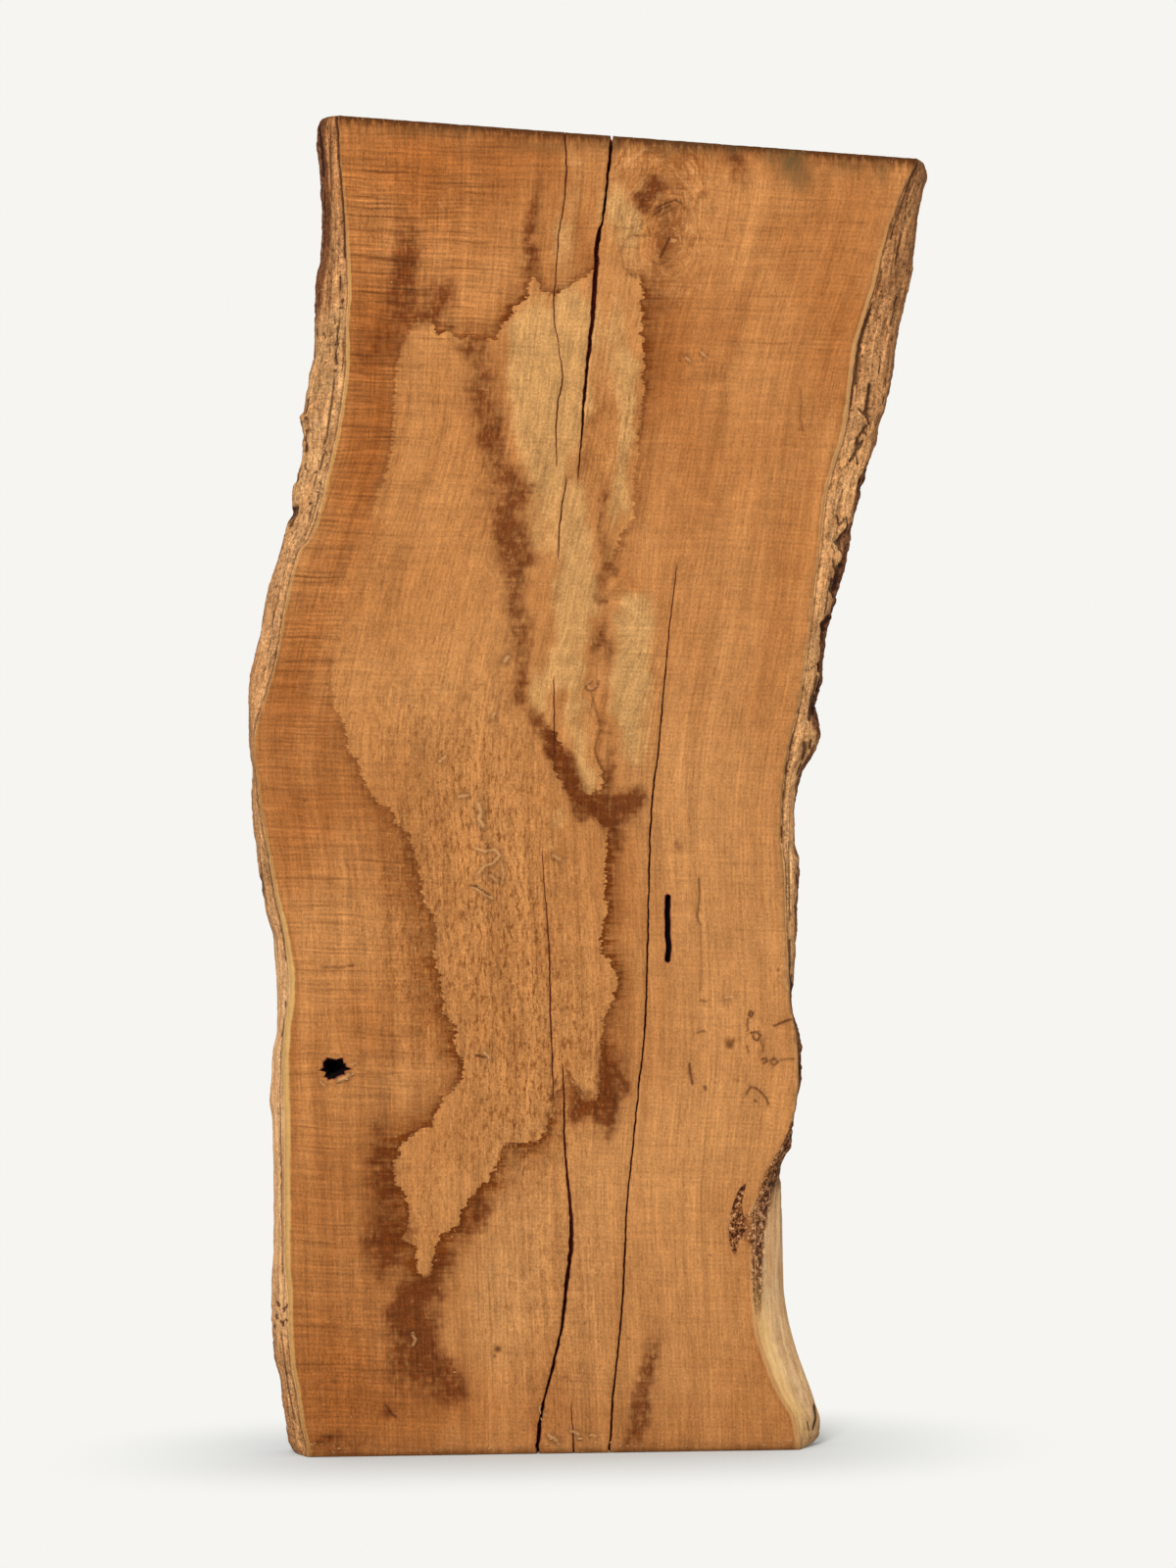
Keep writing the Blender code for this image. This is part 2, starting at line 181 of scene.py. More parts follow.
# Raised torn fibres, (points (right, down), width, height in mm, how pale); the last number also sets a painted shadow
# in the dip beside each fibre.
FIBRES = [
    ([(488, 821), (491, 828), (489, 836), (493, 843)], 2.6, 1.0, .9),
    ([(486, 866), (495, 869), (505, 867), (510, 873), (503, 881), (494, 884), (488, 892)], 1.7, .9, .85),
    ([(481, 905), (488, 908), (497, 914), (503, 917)], 1.5, .7, .7),
    ([(511, 880), (514, 891), (512, 902)], 1.3, .6, .6), ([(500, 893), (507, 899)], 1.6, .7, .7),
    ([(476, 812), (469, 813)], 2.0, .8, .8), ([(565, 873), (571, 877)], 2.0, .8, .7),
    ([(494, 1074), (500, 1080)], 1.8, .8, .8), ([(519, 670), (515, 675)], 2.0, .7, .8),
    ([(346, 1102), (352, 1100), (356, 1097)], 2.4, 1.2, .95), ([(327, 1104), (331, 1108)], 1.6, .6, .5),
    ([(358, 1087), (363, 1085)], 1.5, .6, .5), ([(740, 1018), (748, 1017)], 1.5, .5, .6),
    ([(795, 999), (801, 1005), (806, 1012)], 1.3, .6, .5), ([(800, 1000), (805, 1007)], 1.2, .6, .5),
    ([(421, 1362), (424, 1368), (421, 1373)], 1.5, .6, .8), ([(455, 772), (448, 777)], 1.6, .6, .7),
    ([(505, 728), (501, 733)], 1.6, .6, .7), ([(551, 1436), (554, 1444)], 1.8, .8, .8),
    ([(560, 1465), (568, 1470)], 2.0, .8, .8), ([(583, 1460), (590, 1464)], 2.2, .9, .9),
    ([(603, 1464), (608, 1466)], 1.6, .6, .7), ([(600, 716), (607, 731)], 1.1, .4, .45),
    ([(700, 365), (704, 368)], 1.6, .6, .8), ([(716, 360), (719, 363)], 1.6, .6, .8),
    ([(447, 205), (452, 214)], 1.2, .4, .35), ([(604, 693), (599, 698), (603, 704), (609, 700)], 1.4, .7, .5),
]
# Pits, (right, down, radius, depth in mm, darkness painted as shade in the pit).
PITS = [
    (508, 1377.5, 3.2, 3.0, 1.0), (505, 1384, 2.0, 1.0, 0.8), (694, 368, 1.5, 1.0, 0.7),
    (715, 362, 1.3, 0.8, 0.6), (735, 380, 1.4, 0.6, 0.4), (746, 1067, 3.2, 0.8, 0.8),
    (311, 817, 1.6, 0.7, 0.7), (335, 835, 1.3, 0.5, 0.5), (378, 836, 1.6, 0.6, 0.7),
    (354, 883, 1.8, 0.5, 0.5), (839, 300, 1.4, 0.5, 0.5), (848, 301, 1.2, 0.5, 0.4),
    (753, 1103, 1.8, 0.6, 0.5), (730, 1105, 1.5, 0.5, 0.5), (691, 860, 2.6, 0.5, 0.5),
    (729, 816, 1.6, 0.6, 0.6), (725, 1281, 1.4, 0.6, 0.7), (754, 1306, 1.5, 0.5, 0.5),
    (541, 1262, 1.7, 0.7, 0.6), (641, 1366, 1.6, 0.5, 0.5), (698, 1209, 1.2, 0.4, 0.4),
    (345, 1391, 1.5, 0.4, 0.4), (520, 1335, 1.3, 0.4, 0.4), (597, 1351, 1.5, 0.6, 0.5),
    (607, 820, 1.2, 0.5, 0.5), (640, 1209, 1.1, 0.5, 0.3), (499, 1352, 1.3, 0.4, 0.4),
    (794, 990, 1.6, 1.4, 0.9), (805, 973, 1.8, 2.0, 0.9), (666, 358, 1.2, 0.6, 0.5),
]
KNOT_MOUTH = [
    (325, 1092), (330, 1089.5), (329, 1084), (334, 1080), (341, 1081.5), (349, 1080), (351.5, 1084.5),
    (354, 1088), (358.5, 1091), (352.5, 1093), (351.5, 1097), (345, 1098), (341, 1101.5),
    (335, 1102.5), (330.5, 1099), (332, 1094.5),
]
KNOT_AT = (340.5, 1091.0)
GALLERY = (681.8, 912.5, 982.5, 6.0, 12.0)     # right, top, foot, width, depth in mm
POCKET = [
    (762, 1206), (757, 1210), (752, 1217), (748, 1228), (745, 1240), (743.5, 1252), (743.5, 1264),
    (746, 1275), (750, 1281), (752.5, 1276), (753, 1269), (757, 1263), (761, 1256), (761, 1246),
    (758.5, 1238), (757, 1229), (759.5, 1219),
]

# ---------------------------------------------------------------- stains
# The jagged outline of the lighter wood in the middle of the face.
LIGHT_WOOD = [
    (427, 324), (441, 324), (443, 333), (445, 342), (450, 344), (454, 338), (459, 338), (464, 343),
    (470, 347), (478, 342), (488, 347), (497, 344), (505, 345), (512, 333), (523, 317), (535, 306),
    (539, 292), (543, 278), (551, 290), (555, 299), (565, 303), (571, 297), (576, 294), (585, 292),
    (592, 286), (601, 280), (609, 270), (613, 240), (618, 205), (628, 188), (644, 190), (650, 205),
    (643, 214), (654, 222), (652, 240), (640, 252), (638, 268), (643, 279), (653, 280), (655, 308),
    (655, 342), (657, 365), (657, 398), (654, 423), (652, 448), (652, 461), (647, 484),
    (645.6, 530), (632, 544), (631, 558), (625, 575), (618, 597), (612, 622), (608, 645), (606, 672),
    (604, 701), (613, 742), (608, 749), (609, 772), (615, 786), (615, 809), (607, 806), (600, 813),
    (592, 806), (583, 786), (575, 766), (566, 745), (558, 742), (556, 765), (566, 786), (578, 806),
    (592, 822), (606, 832), (620, 845), (618.5, 887), (617, 914), (622, 926), (615, 946), (616, 974),
    (627, 988), (631, 1001), (625, 1022), (616, 1039), (614, 1065), (614, 1093), (613, 1117),
    (607, 1127), (592, 1121), (586, 1108), (579, 1093), (575, 1102), (570, 1112), (566, 1117),
    (561, 1124), (564, 1135), (558, 1149), (552, 1164), (533, 1166), (515, 1165), (509, 1184),
    (499, 1202), (483, 1218), (472, 1232), (467, 1252), (451, 1262), (442, 1280), (440, 1301),
    (435, 1304), (426, 1301), (424, 1273), (412, 1264), (418, 1241), (414, 1220), (403, 1207),
    (401, 1188), (410, 1170), (424, 1154), (440, 1149), (447, 1131), (460, 1115), (471, 1099),
    (472, 1085), (464, 1067), (464, 1046), (453, 1034), (451, 1012), (449, 994), (443, 976),
    (445, 955), (443, 932), (434, 921), (430, 900), (424, 875), (418, 854), (404, 838), (398, 827),
    (379, 813), (372, 795), (365, 776), (354, 765), (354, 747), (347, 733), (338, 714), (340, 660),
    (346, 620), (356, 580), (368, 545), (377, 524), (384, 505), (393, 485), (398, 465), (401, 440),
    (402, 400), (407, 362), (417, 337),
]
# How dark and how wide the stain just outside that outline is: (right, down, strength, width).
HALO = [
    (427, 324, .45, 8), (450, 343, .85, 6), (470, 347, .6, 8), (490, 347, .5, 9), (505, 345, .6, 9),
    (523, 317, .8, 8), (539, 285, .6, 8), (552, 296, .7, 5), (565, 303, .7, 6), (585, 292, .5, 6),
    (601, 280, .6, 9), (612, 240, .02, 5), (630, 186, .0, 6), (652, 205, .1, 6), (640, 260, .03, 5),
    (654, 300, .7, 15), (656, 365, .75, 15), (655, 420, .5, 10), (650, 470, .3, 9),
    (646, 520, .35, 8), (632, 550, .4, 8), (618, 597, .03, 8), (405, 368, .30, 12), (417, 337, .3, 10),
    (401, 400, .30, 12), (401, 440, .30, 12), (393, 485, .26, 12), (382, 510, .2, 12), (366, 548, .05, 10), (346, 620, .0, 10),
    (338, 714, .25, 10), (354, 755, .42, 14), (372, 795, .48, 20), (404, 838, .55, 22),
    (424, 875, .55, 22), (434, 921, .6, 22), (445, 955, .55, 24), (449, 994, .65, 24),
    (453, 1034, .65, 28), (464, 1060, .85, 13), (472, 1092, .75, 10), (460, 1115, .55, 9),
    (447, 1131, .7, 13), (440, 1149, .7, 14), (410, 1170, .8, 28), (401, 1200, .85, 26),
    (416, 1235, .85, 22), (412, 1264, .9, 24), (426, 1301, .9, 16), (440, 1301, .8, 12),
    (445, 1275, .9, 15), (467, 1252, .95, 12), (483, 1218, 1.0, 14), (500, 1200, .9, 13),
    (513, 1175, .7, 12), (535, 1166, .85, 13), (556, 1155, .75, 9), (563, 1130, .5, 7),
    (577, 1095, .35, 4), (590, 1125, .75, 15), (610, 1125, .85, 15), (614, 1090, .9, 14),
    (617, 1040, .7, 10), (630, 1005, .85, 9), (617, 975, .85, 10), (618, 926, .9, 9),
    (618, 887, .9, 9), (620, 845, .8, 10), (612, 800, .6, 8), (610, 760, .2, 4), (604, 701, .03, 4),
    (606, 660, .15, 6), (575, 770, .9, 16), (558, 750, .8, 12), (592, 822, .9, 12),
]
# Soft dark smears: (right, down, half width, half height, turn in degrees, strength).
SMEARS = [
    (418, 276, 13, 44, 4, .66), (410, 236, 18, 34, 0, .26), (406, 304, 17, 30, 0, .42), (449, 300, 13, 18, 0, .72),
    (438, 322, 15, 12, 20, .58), (545, 228, 6, 44, 5, .70), (541, 270, 8, 20, 6, .5),
    (388, 345, 30, 26, 0, .42), (372, 372, 22, 20, 0, .30), (401, 420, 6, 46, 2, .22),
    (483, 352, 12, 12, 0, .3), (497, 372, 14, 20, -15, .3),
    (478, 356, 12, 14, 0, .34), (488, 385, 16, 18, 0, .42), (490, 408, 17, 17, 0, .55),
    (499, 438, 17, 13, -35, .80), (508, 458, 12, 15, -20, .60), (500, 476, 10, 12, 0, .25),
    (518, 484, 17, 11, -35, .62), (534, 497, 15, 10, -20, .60), (522, 516, 19, 15, 0, .52),
    (512, 534, 14, 16, 0, .38), (522, 552, 20, 20, 0, .66), (534, 574, 15, 16, 0, .55),
    (526, 600, 17, 22, 0, .42), (531, 628, 14, 22, 0, .44), (528, 655, 13, 20, 0, .41), (508, 590, 24, 76, 0, .17), (500, 500, 26, 52, 0, .20),
    (530, 684, 11, 20, 0, .42), (529, 706, 8, 14, 0, .58), (512, 716, 14, 24, 0, .16),
    (541, 728, 9, 9, -30, .38), (550, 743, 10, 15, -12, .62), (556, 764, 8, 12, 0, .50),
    (568, 765, 8, 14, 0, .48), (577, 772, 10, 13, -20, .72), (585, 790, 10, 17, -12, .76),
    (589, 812, 9, 15, -8, .74), (600, 829, 15, 8, -12, .68), (612, 822, 12, 9, 0, .68),
    (624, 838, 11, 15, 0, .80), (628, 822, 12, 9, 20, .65), (643, 815, 13, 12, 30, .92),
    (651, 803, 8, 8, 0, .5), (628, 858, 7, 10, 0, .45), (640, 836, 16, 10, 20, .30),
    (486, 1238, 9, 13, -20, .72), (474, 1256, 10, 9, -30, .55), (452, 1294, 13, 9, 0, .5), (444, 1306, 10, 8, 0, .5),
    (627, 1090, 8, 17, 0, .80), (618, 1142, 5, 20, 4, .70), (604, 1130, 4, 12, 0, .5), (590, 1130, 5, 16, 0, .55),
    (563, 1144, 4, 16, 0, .5), (636, 1106, 3, 14, 0, .5), (388, 1240, 16, 30, 0, .35), (392, 1292, 18, 14, 0, .4),
    (619, 782, 4.5, 12, 0, .55), (619, 802, 4.5, 12, 0, .5), (621, 770, 7, 5, 0, .35),
    (612, 742, 8, 5, 0, .35), (586, 484, 13, 8, -10, .34), (596, 470, 10, 10, 20, .34),
    (600, 456, 6, 10, 0, .26), (613, 500, 5, 18, -8, .46), (616, 530, 5, 26, -3, .50),
    (615, 560, 5, 18, 0, .34), (606, 424, 14, 9, 0, .26), (612, 412, 8, 8, 0, .22),
    (626, 404, 10, 10, 30, .26), (636, 352, 14, 10, 0, .20), (573, 452, 10, 14, 0, .16),
    (612, 590, 10, 7, -40, .42), (622, 582, 12, 6, 40, .45), (606, 612, 7, 10, 0, .40),
    (592, 600, 20, 4, 30, .20), (582, 640, 22, 4, 20, .24), (612, 640, 9, 12, 0, .55),
    (604, 656, 6, 8, 0, .35), (616, 672, 10, 6, 30, .25), (640, 694, 24, 8, 0, .16),
    (650, 742, 5, 12, 0, .18),
    (386, 1180, 16, 38, 0, .55), (396, 1215, 14, 24, 0, .35), (398, 1268, 22, 22, 0, .62),
    (382, 1262, 14, 14, 0, .32), (428, 1316, 17, 12, 0, .80), (446, 1320, 12, 7, 0, .5),
    (416, 1344, 24, 20, 0, .95), (424, 1364, 22, 24, 0, .85), (428, 1392, 22, 24, 0, .62),
    (452, 1402, 22, 16, 20, .55), (462, 1420, 11, 14, 0, .75), (408, 1402, 14, 20, 0, .4),
    (438, 1428, 26, 14, 0, .28), (400, 1441, 7, 7, 30, .45), (335, 1465, 20, 8, -12, .65),
    (350, 1474, 34, 8, -8, .4), (623, 1118, 8, 36, 0, .92), (589, 1134, 8, 15, 0, .85), (606, 1134, 6, 12, 0, .7), (616, 1146, 6, 10, 0, .6),
    (601, 1130, 5, 14, 0, .4), (533, 1178, 18, 6, 0, .55), (491, 1226, 6, 14, -35, .5),
    (502, 1222, 5, 8, 0, .35), (456, 1284, 11, 9, 20, .78), (658, 1416, 11, 44, 12, .62),
    (650, 1450, 13, 26, 8, .40), (664, 1380, 10, 24, 16, .28), (666, 196, 13, 8, -24, .96), (660, 205, 8, 7, 0, .80), (676, 189, 12, 4, -12, .60),
    (655, 211, 6, 6, 0, .55), (712, 206, 6, 6, 0, .45), (690, 204, 8, 5, -20, .5),
    (684, 225, 10, 16, 22, .42), (681, 250, 11, 20, 24, .48), (668, 300, 14, 16, 0, .30),
    (690, 302, 30, 14, 0, .22), (730, 350, 20, 22, 0, .14), (727, 383, 10, 10, 0, .25),
    (697, 355, 6, 9, -25, .25), (752, 340, 18, 10, 0, .12), (632, 148, 5, 8, 0, .4), (500, 148, 90, 14, 0, .16), (748, 158, 8, 12, 0, .62), (754, 174, 8, 11, 0, .55), (758, 190, 9, 9, 0, .25),
    (817, 420, 5, 26, 0, .22), (812, 432, 10, 3, 0, .2), (746, 1067, 7, 4, 0, .5),
    (757, 1064, 5, 3, 0, .25), (798, 1043, 9, 3, -12, .35), (694, 862, 5, 7, -30, .35),
    (704, 1096, 3, 10, -8, .25), (741, 1094, 20, 6, 0, .14), (760, 1090, 26, 5, 0, .10),
    (340, 570, 26, 14, 0, .28), (318, 600, 14, 26, 12, .22), (305, 690, 18, 40, 16, .22),
    (285, 770, 14, 44, 4, .28), (300, 830, 20, 34, 0, .18), (352, 640, 18, 12, 0, .08),
    (618, 1080, 5, 30, 0, .35), (312, 1462, 6, 5, 0, .6), (613, 655, 9, 9, 0, .50),
    (620, 664, 6, 6, 0, .35), (612, 606, 4, 18, -4, .35), (600, 1452, 20, 16, 0, .16),
    (575, 1440, 10, 26, 0, .20), (740, 1474, 80, 8, 0, .22), (420, 1476, 60, 8, 0, .25),
    (370, 1440, 30, 18, 0, .16), (640, 1470, 14, 14, 0, .18), (553, 1450, 8, 18, 12, .2),
]
# The greenish grey weathering on the upper end's rim: (right, down, half width, half height, strength).
GREY = [
    (748, 152, 8, 8, .45), (808, 166, 14, 16, .8), (818, 184, 12, 12, .55),
    (786, 160, 5, 9, .5), (865, 172, 20, 8, .4), (900, 176, 8, 12, .45), (560, 150, 60, 6, .28),
    (440, 134, 60, 6, .25), (700, 150, 40, 7, .35), (625, 146, 6, 8, .6), (940, 172, 6, 8, .3),
]
# Soft golden wood: (right, down, half width, half height, turn, strength).
GOLD = [
    (545, 385, 27, 60, 0, 1), (556, 348, 36, 30, 0, 1), (578, 322, 24, 30, 0, .95),
    (562, 430, 30, 46, 0, .95), (590, 380, 16, 60, 0, .8), (556, 482, 20, 36, 0, .8),
    (549, 540, 15, 44, 0, .55), (585, 540, 20, 52, 0, .95), (586, 602, 22, 32, 0, .95),
    (578, 674, 23, 20, 0, 1.0), (580, 690, 20, 12, 0, .6), (582, 642, 20, 18, 0, .62), (546, 692, 15, 22, 0, .55),
    (551, 716, 12, 20, 0, .6), (584, 722, 15, 26, 0, .62), (591, 762, 11, 30, -6, .66),
    (600, 796, 8, 18, -10, .85), (630, 325, 17, 46, 0, .50), (638, 385, 15, 40, 0, .62), (616, 360, 12, 40, 0, .40), (642, 256, 13, 20, 0, .36), (644, 222, 13, 12, 0, .55),
    (638, 440, 13, 50, 0, .72), (630, 500, 14, 44, 0, .72), (630, 215, 18, 40, 0, .68), (640, 168, 18, 16, 0, .28),
    (590, 215, 12, 50, 0, .25), (648, 622, 26, 26, 0, .70), (648, 655, 26, 28, 0, .66), (646, 690, 28, 28, 0, .66), (650, 730, 22, 36, 0, .52),
    (640, 716, 20, 40, 0, .40), (646, 772, 20, 32, 0, .52), (585, 180, 24, 60, 0, .30),
    (572, 250, 18, 40, 0, .45), (452, 698, 22, 12, 0, .45), (566, 836, 16, 12, 0, .55),
    (556, 860, 20, 14, 0, .35), (540, 1280, 22, 90, 6, .30), (700, 620, 12, 90, 0, .25),
    (690, 460, 12, 60, 0, .18),
]
# Paler wood, and wood a little deeper in tone: (right, down, half width, half height, turn, strength).
PALER = [
    (720, 760, 90, 150, 0, .50), (740, 950, 80, 200, 0, .62), (700, 1150, 110, 80, 0, .58),
    (700, 1330, 100, 130, 0, .52), (520, 1290, 46, 110, 6, 1.0), (600, 1310, 30, 130, 0, .66),
    (460, 720, 60, 60, 0, .30), (730, 560, 70, 60, 0, .15), (400, 1110, 54, 26, 0, .30),
    (350, 950, 50, 50, 0, .25), (620, 1200, 30, 80, 0, .35), (700, 250, 60, 80, 0, .12),
]
# Orange brown wood: (right, down, half width, half height, turn, strength).
ORANGE = [
    (374, 430, 24, 90, 4, .68), (388, 395, 14, 60, 0, .40), (365, 505, 26, 60, 8, .62),
    (362, 250, 22, 90, 0, .42), (420, 170, 64, 54, 0, .64), (480, 190, 74, 60, 0, .50), (720, 166, 34, 14, 0, .50), (790, 172, 34, 10, 0, .30),
    (384, 335, 44, 44, 0, .60), (392, 352, 18, 22, 0, .4), (300, 700, 26, 100, 12, .55),
    (320, 790, 60, 60, 0, .36), (300, 860, 34, 60, 0, .42), (520, 160, 40, 30, 0, .42),
    (340, 1250, 60, 120, 0, .22), (335, 1400, 60, 80, 0, .78), (400, 1440, 90, 40, 0, .50),
    (350, 600, 40, 60, 0, .35), (860, 200, 50, 60, 0, .40), (850, 300, 30, 80, 0, .30),
    (640, 590, 12, 20, 0, .25), (680, 350, 26, 60, 0, .50), (700, 500, 60, 60, 0, .12),
    (712, 700, 16, 60, 0, .25), (750, 440, 70, 70, 0, .22), (520, 980, 70, 170, 0, .20), (790, 700, 24, 90, 4, .30), (640, 900, 14, 80, 0, .30),
    (590, 210, 10, 50, 0, .35), (560, 160, 24, 24, 0, .32), (600, 250, 8, 30, 0, .40),
    (440, 440, 44, 60, 0, .35), (470, 520, 40, 60, 0, .18), (560, 1440, 60, 26, 0, .22),
    (760, 1400, 40, 60, 0, .20), (800, 1450, 30, 24, 0, .20),
]


# ================================================================ helpers
def table(points, at):
    """Values of a (down, value) table at many places, on a smooth curve that never overshoots."""
    xs = np.array([p[0] for p in points], float)
    ys = np.array([p[1] for p in points], float)
    h = np.diff(xs)
    d = np.diff(ys) / h
    m = np.zeros(len(xs))
    a, b = d[:-1], d[1:]
    rising = a * b > 0
    m[1:-1] = np.where(rising, 2 * a * b / np.where(rising, a + b, 1.0), 0.0)
    at = np.clip(np.asarray(at, float), xs[0], xs[-1])
    i = np.clip(np.searchsorted(xs, at, side="right") - 1, 0, len(xs) - 2)
    t = (at - xs[i]) / h[i]
    return (
        (2 * t**3 - 3 * t**2 + 1) * ys[i]
        + (t**3 - 2 * t**2 + t) * h[i] * m[i]
        + (-2 * t**3 + 3 * t**2) * ys[i + 1]
        + (t**3 - t**2) * h[i] * m[i + 1]
    )


def step(low, high, x):
    t = np.clip((np.asarray(x, float) - low) / (high - low), 0, 1)
    return t * t * (3 - 2 * t)


def lattice(ix, iy, seed):
    h = (ix * 374761393 + iy * 668265263 + seed * 362437) & 0xFFFFFFFF
    h = ((h ^ (h >> 13)) * 1274126177) & 0xFFFFFFFF
    h = ((h ^ (h >> 15)) * 2246822519) & 0xFFFFFFFF
    return ((h ^ (h >> 16)) & 0xFFFFFF) / 8388607.5 - 1.0


def noise(x, y, seed=0):
    """Smooth value noise from -1 to 1."""
    x, y = np.broadcast_arrays(np.asarray(x, float), np.asarray(y, float))
    ix, iy = np.floor(x).astype(np.int64), np.floor(y).astype(np.int64)
    fx, fy = x - ix, y - iy
    fx, fy = fx * fx * (3 - 2 * fx), fy * fy * (3 - 2 * fy)
    low = lattice(ix, iy, seed) * (1 - fx) + lattice(ix + 1, iy, seed) * fx
    high = lattice(ix, iy + 1, seed) * (1 - fx) + lattice(ix + 1, iy + 1, seed) * fx
    return low * (1 - fy) + high * fy


def fbm(x, y, seed=0, octaves=4):
    total, size, reach = 0.0, 1.0, 0.0
    for k in range(octaves):
        total = total + size * noise(np.asarray(x) * 2.03**k, np.asarray(y) * 2.03**k, seed + 17 * k)
        reach += size
        size *= 0.5
    return total / reach


def ridges(x, y, seed=0, octaves=3):
    """Sharp crests near 1 and broad hollows near 0."""
    total, size, reach = 0.0, 1.0, 0.0
    for k in range(octaves):
        total = total + size * (1 - np.abs(noise(np.asarray(x) * 2.03**k, np.asarray(y) * 2.03**k, seed + 31 * k)))
        reach += size
        size *= 0.5
    return total / reach


def end_line(end, right):
    return end[0] + end[1] * (np.asarray(right, float) - ZERO_RIGHT)


def in_frame(right, down, depth):
    """Places in metres. depth is from the show face, in units. What lies deeper is spread a little,
    so that it is seen from the front where the tables have it."""
    depth = np.asarray(depth, float)
    spread = 1 + np.clip(depth, 0, None) * UNIT / VIEW_DISTANCE
    u = (np.asarray(right, float) - ZERO_RIGHT) * spread * UNIT
    v = (LOWER_END[0] - np.asarray(down, float)) * UNIT
    y = FRONT_Y + depth * UNIT
    c, s = math.cos(LEAN), math.sin(LEAN)
    return np.stack(np.broadcast_arrays(u * c + v * s - MIDDLE, y, v * c - u * s), axis=-1)


def polygon_distance(points, polygon):
    """Distance to a polygon's outline, positive inside it."""
    a = np.asarray(polygon, float)
    b = np.roll(a, -1, axis=0)
    near = np.full(len(points), 1e9)
    inside = np.zeros(len(points), bool)
    for p, q in zip(a, b):
        pq = q - p
        ap = points - p
        t = np.clip(ap @ pq / max(pq @ pq, 1e-12), 0, 1)
        near = np.minimum(near, np.hypot(ap[:, 0] - t * pq[0], ap[:, 1] - t * pq[1]))
        if p[1] != q[1]:
            crosses = (p[1] > points[:, 1]) != (q[1] > points[:, 1])
            inside ^= crosses & (points[:, 0] < pq[0] * (points[:, 1] - p[1]) / pq[1] + p[0])
    return np.where(inside, near, -near)


def roughen(polygon, size, spacing, seed):
    """The polygon with small jags added along its sides."""
    out = []
    a = np.asarray(polygon, float)
    for k, (p, q) in enumerate(zip(a, np.roll(a, -1, axis=0))):
        n = max(1, int(round(np.hypot(*(q - p)) / spacing)))
        for j in range(n):
            out.append(p + (q - p) * j / n)
    out = np.array(out)
    out[:, 0] += size * fbm(out[:, 0] / 7, out[:, 1] / 5, seed, 2)
    out[:, 1] += size * fbm(out[:, 0] / 5, out[:, 1] / 7, seed + 5, 2)
    return out


def blobs(right, down, spots, flat=1.25):
    """Soft ellipses laid over each other, from 0 to 1."""
    clear = np.ones(len(right))
    for cx, cy, rx, ry, turn, strength in spots:
        a = math.radians(turn)
        dx, dy = right - cx, down - cy
        u = (dx * math.cos(a) + dy * math.sin(a)) / rx
        v = (-dx * math.sin(a) + dy * math.cos(a)) / ry
        r2 = u * u + v * v
        clear *= 1 - strength * np.exp(-0.9 * r2 ** flat)
    return 1 - clear


def path_distance(right, down, path):
    """Distance from places to a polyline of (right, down)."""
    near = np.full(len(right), 1e9)
    p = np.asarray(path, float)
    for a, b in zip(p[:-1], p[1:]):
        ab = b - a
        dx, dy = right - a[0], down - a[1]
        t = np.clip((dx * ab[0] + dy * ab[1]) / max(ab @ ab, 1e-9), 0, 1)
        near = np.minimum(near, np.hypot(dx - t * ab[0], dy - t * ab[1]))
    return near


# ================================================================ natural edges
def edge_base(side, down, across):
    """Where a natural edge is, before its relief. across runs from 0 at the show face to 1 behind."""
    outline = table(LEFT_OUTLINE if side < 0 else RIGHT_OUTLINE, down)
    lip = table(LEFT_LIP if side < 0 else RIGHT_LIP, down)
    back = table(LEFT_BACK if side < 0 else RIGHT_BACK, down)
    fore = side * (outline - lip) * np.clip(1 - across / WIDEST_AT, 0, 1) ** 1.6
    aft = back * np.clip((across - WIDEST_AT) / (1 - WIDEST_AT), 0, 1) ** 1.9
    return outline - side * (fore + aft)


LEFT_BAND_CRACK = [
    (118, 343.5), (186, 347), (233, 350), (281, 352), (334, 344), (389, 339), (429, 334),
    (456, 329), (476, 323), (520, 316), (561, 306), (596, 296), (638, 288), (700, 272), (760, 256),
]
LEFT_LOW_CRACK = [
    (880, 273), (930, 282), (965, 289), (997, 292), (1047, 288), (1074, 285), (1122, 284.5),
    (1198, 286), (1300, 287.5), (1370, 291), (1440, 301), (1484, 308),
]
RIGHT_BAND_CRACK = [
    (300, 893), (310, 890.5), (342, 880.5), (384, 873.5), (411, 868.5), (440, 863), (470, 853),
    (520, 842.5), (560, 838.5), (620, 831), (700, 820), (760, 808), (800, 801), (860, 798),
]


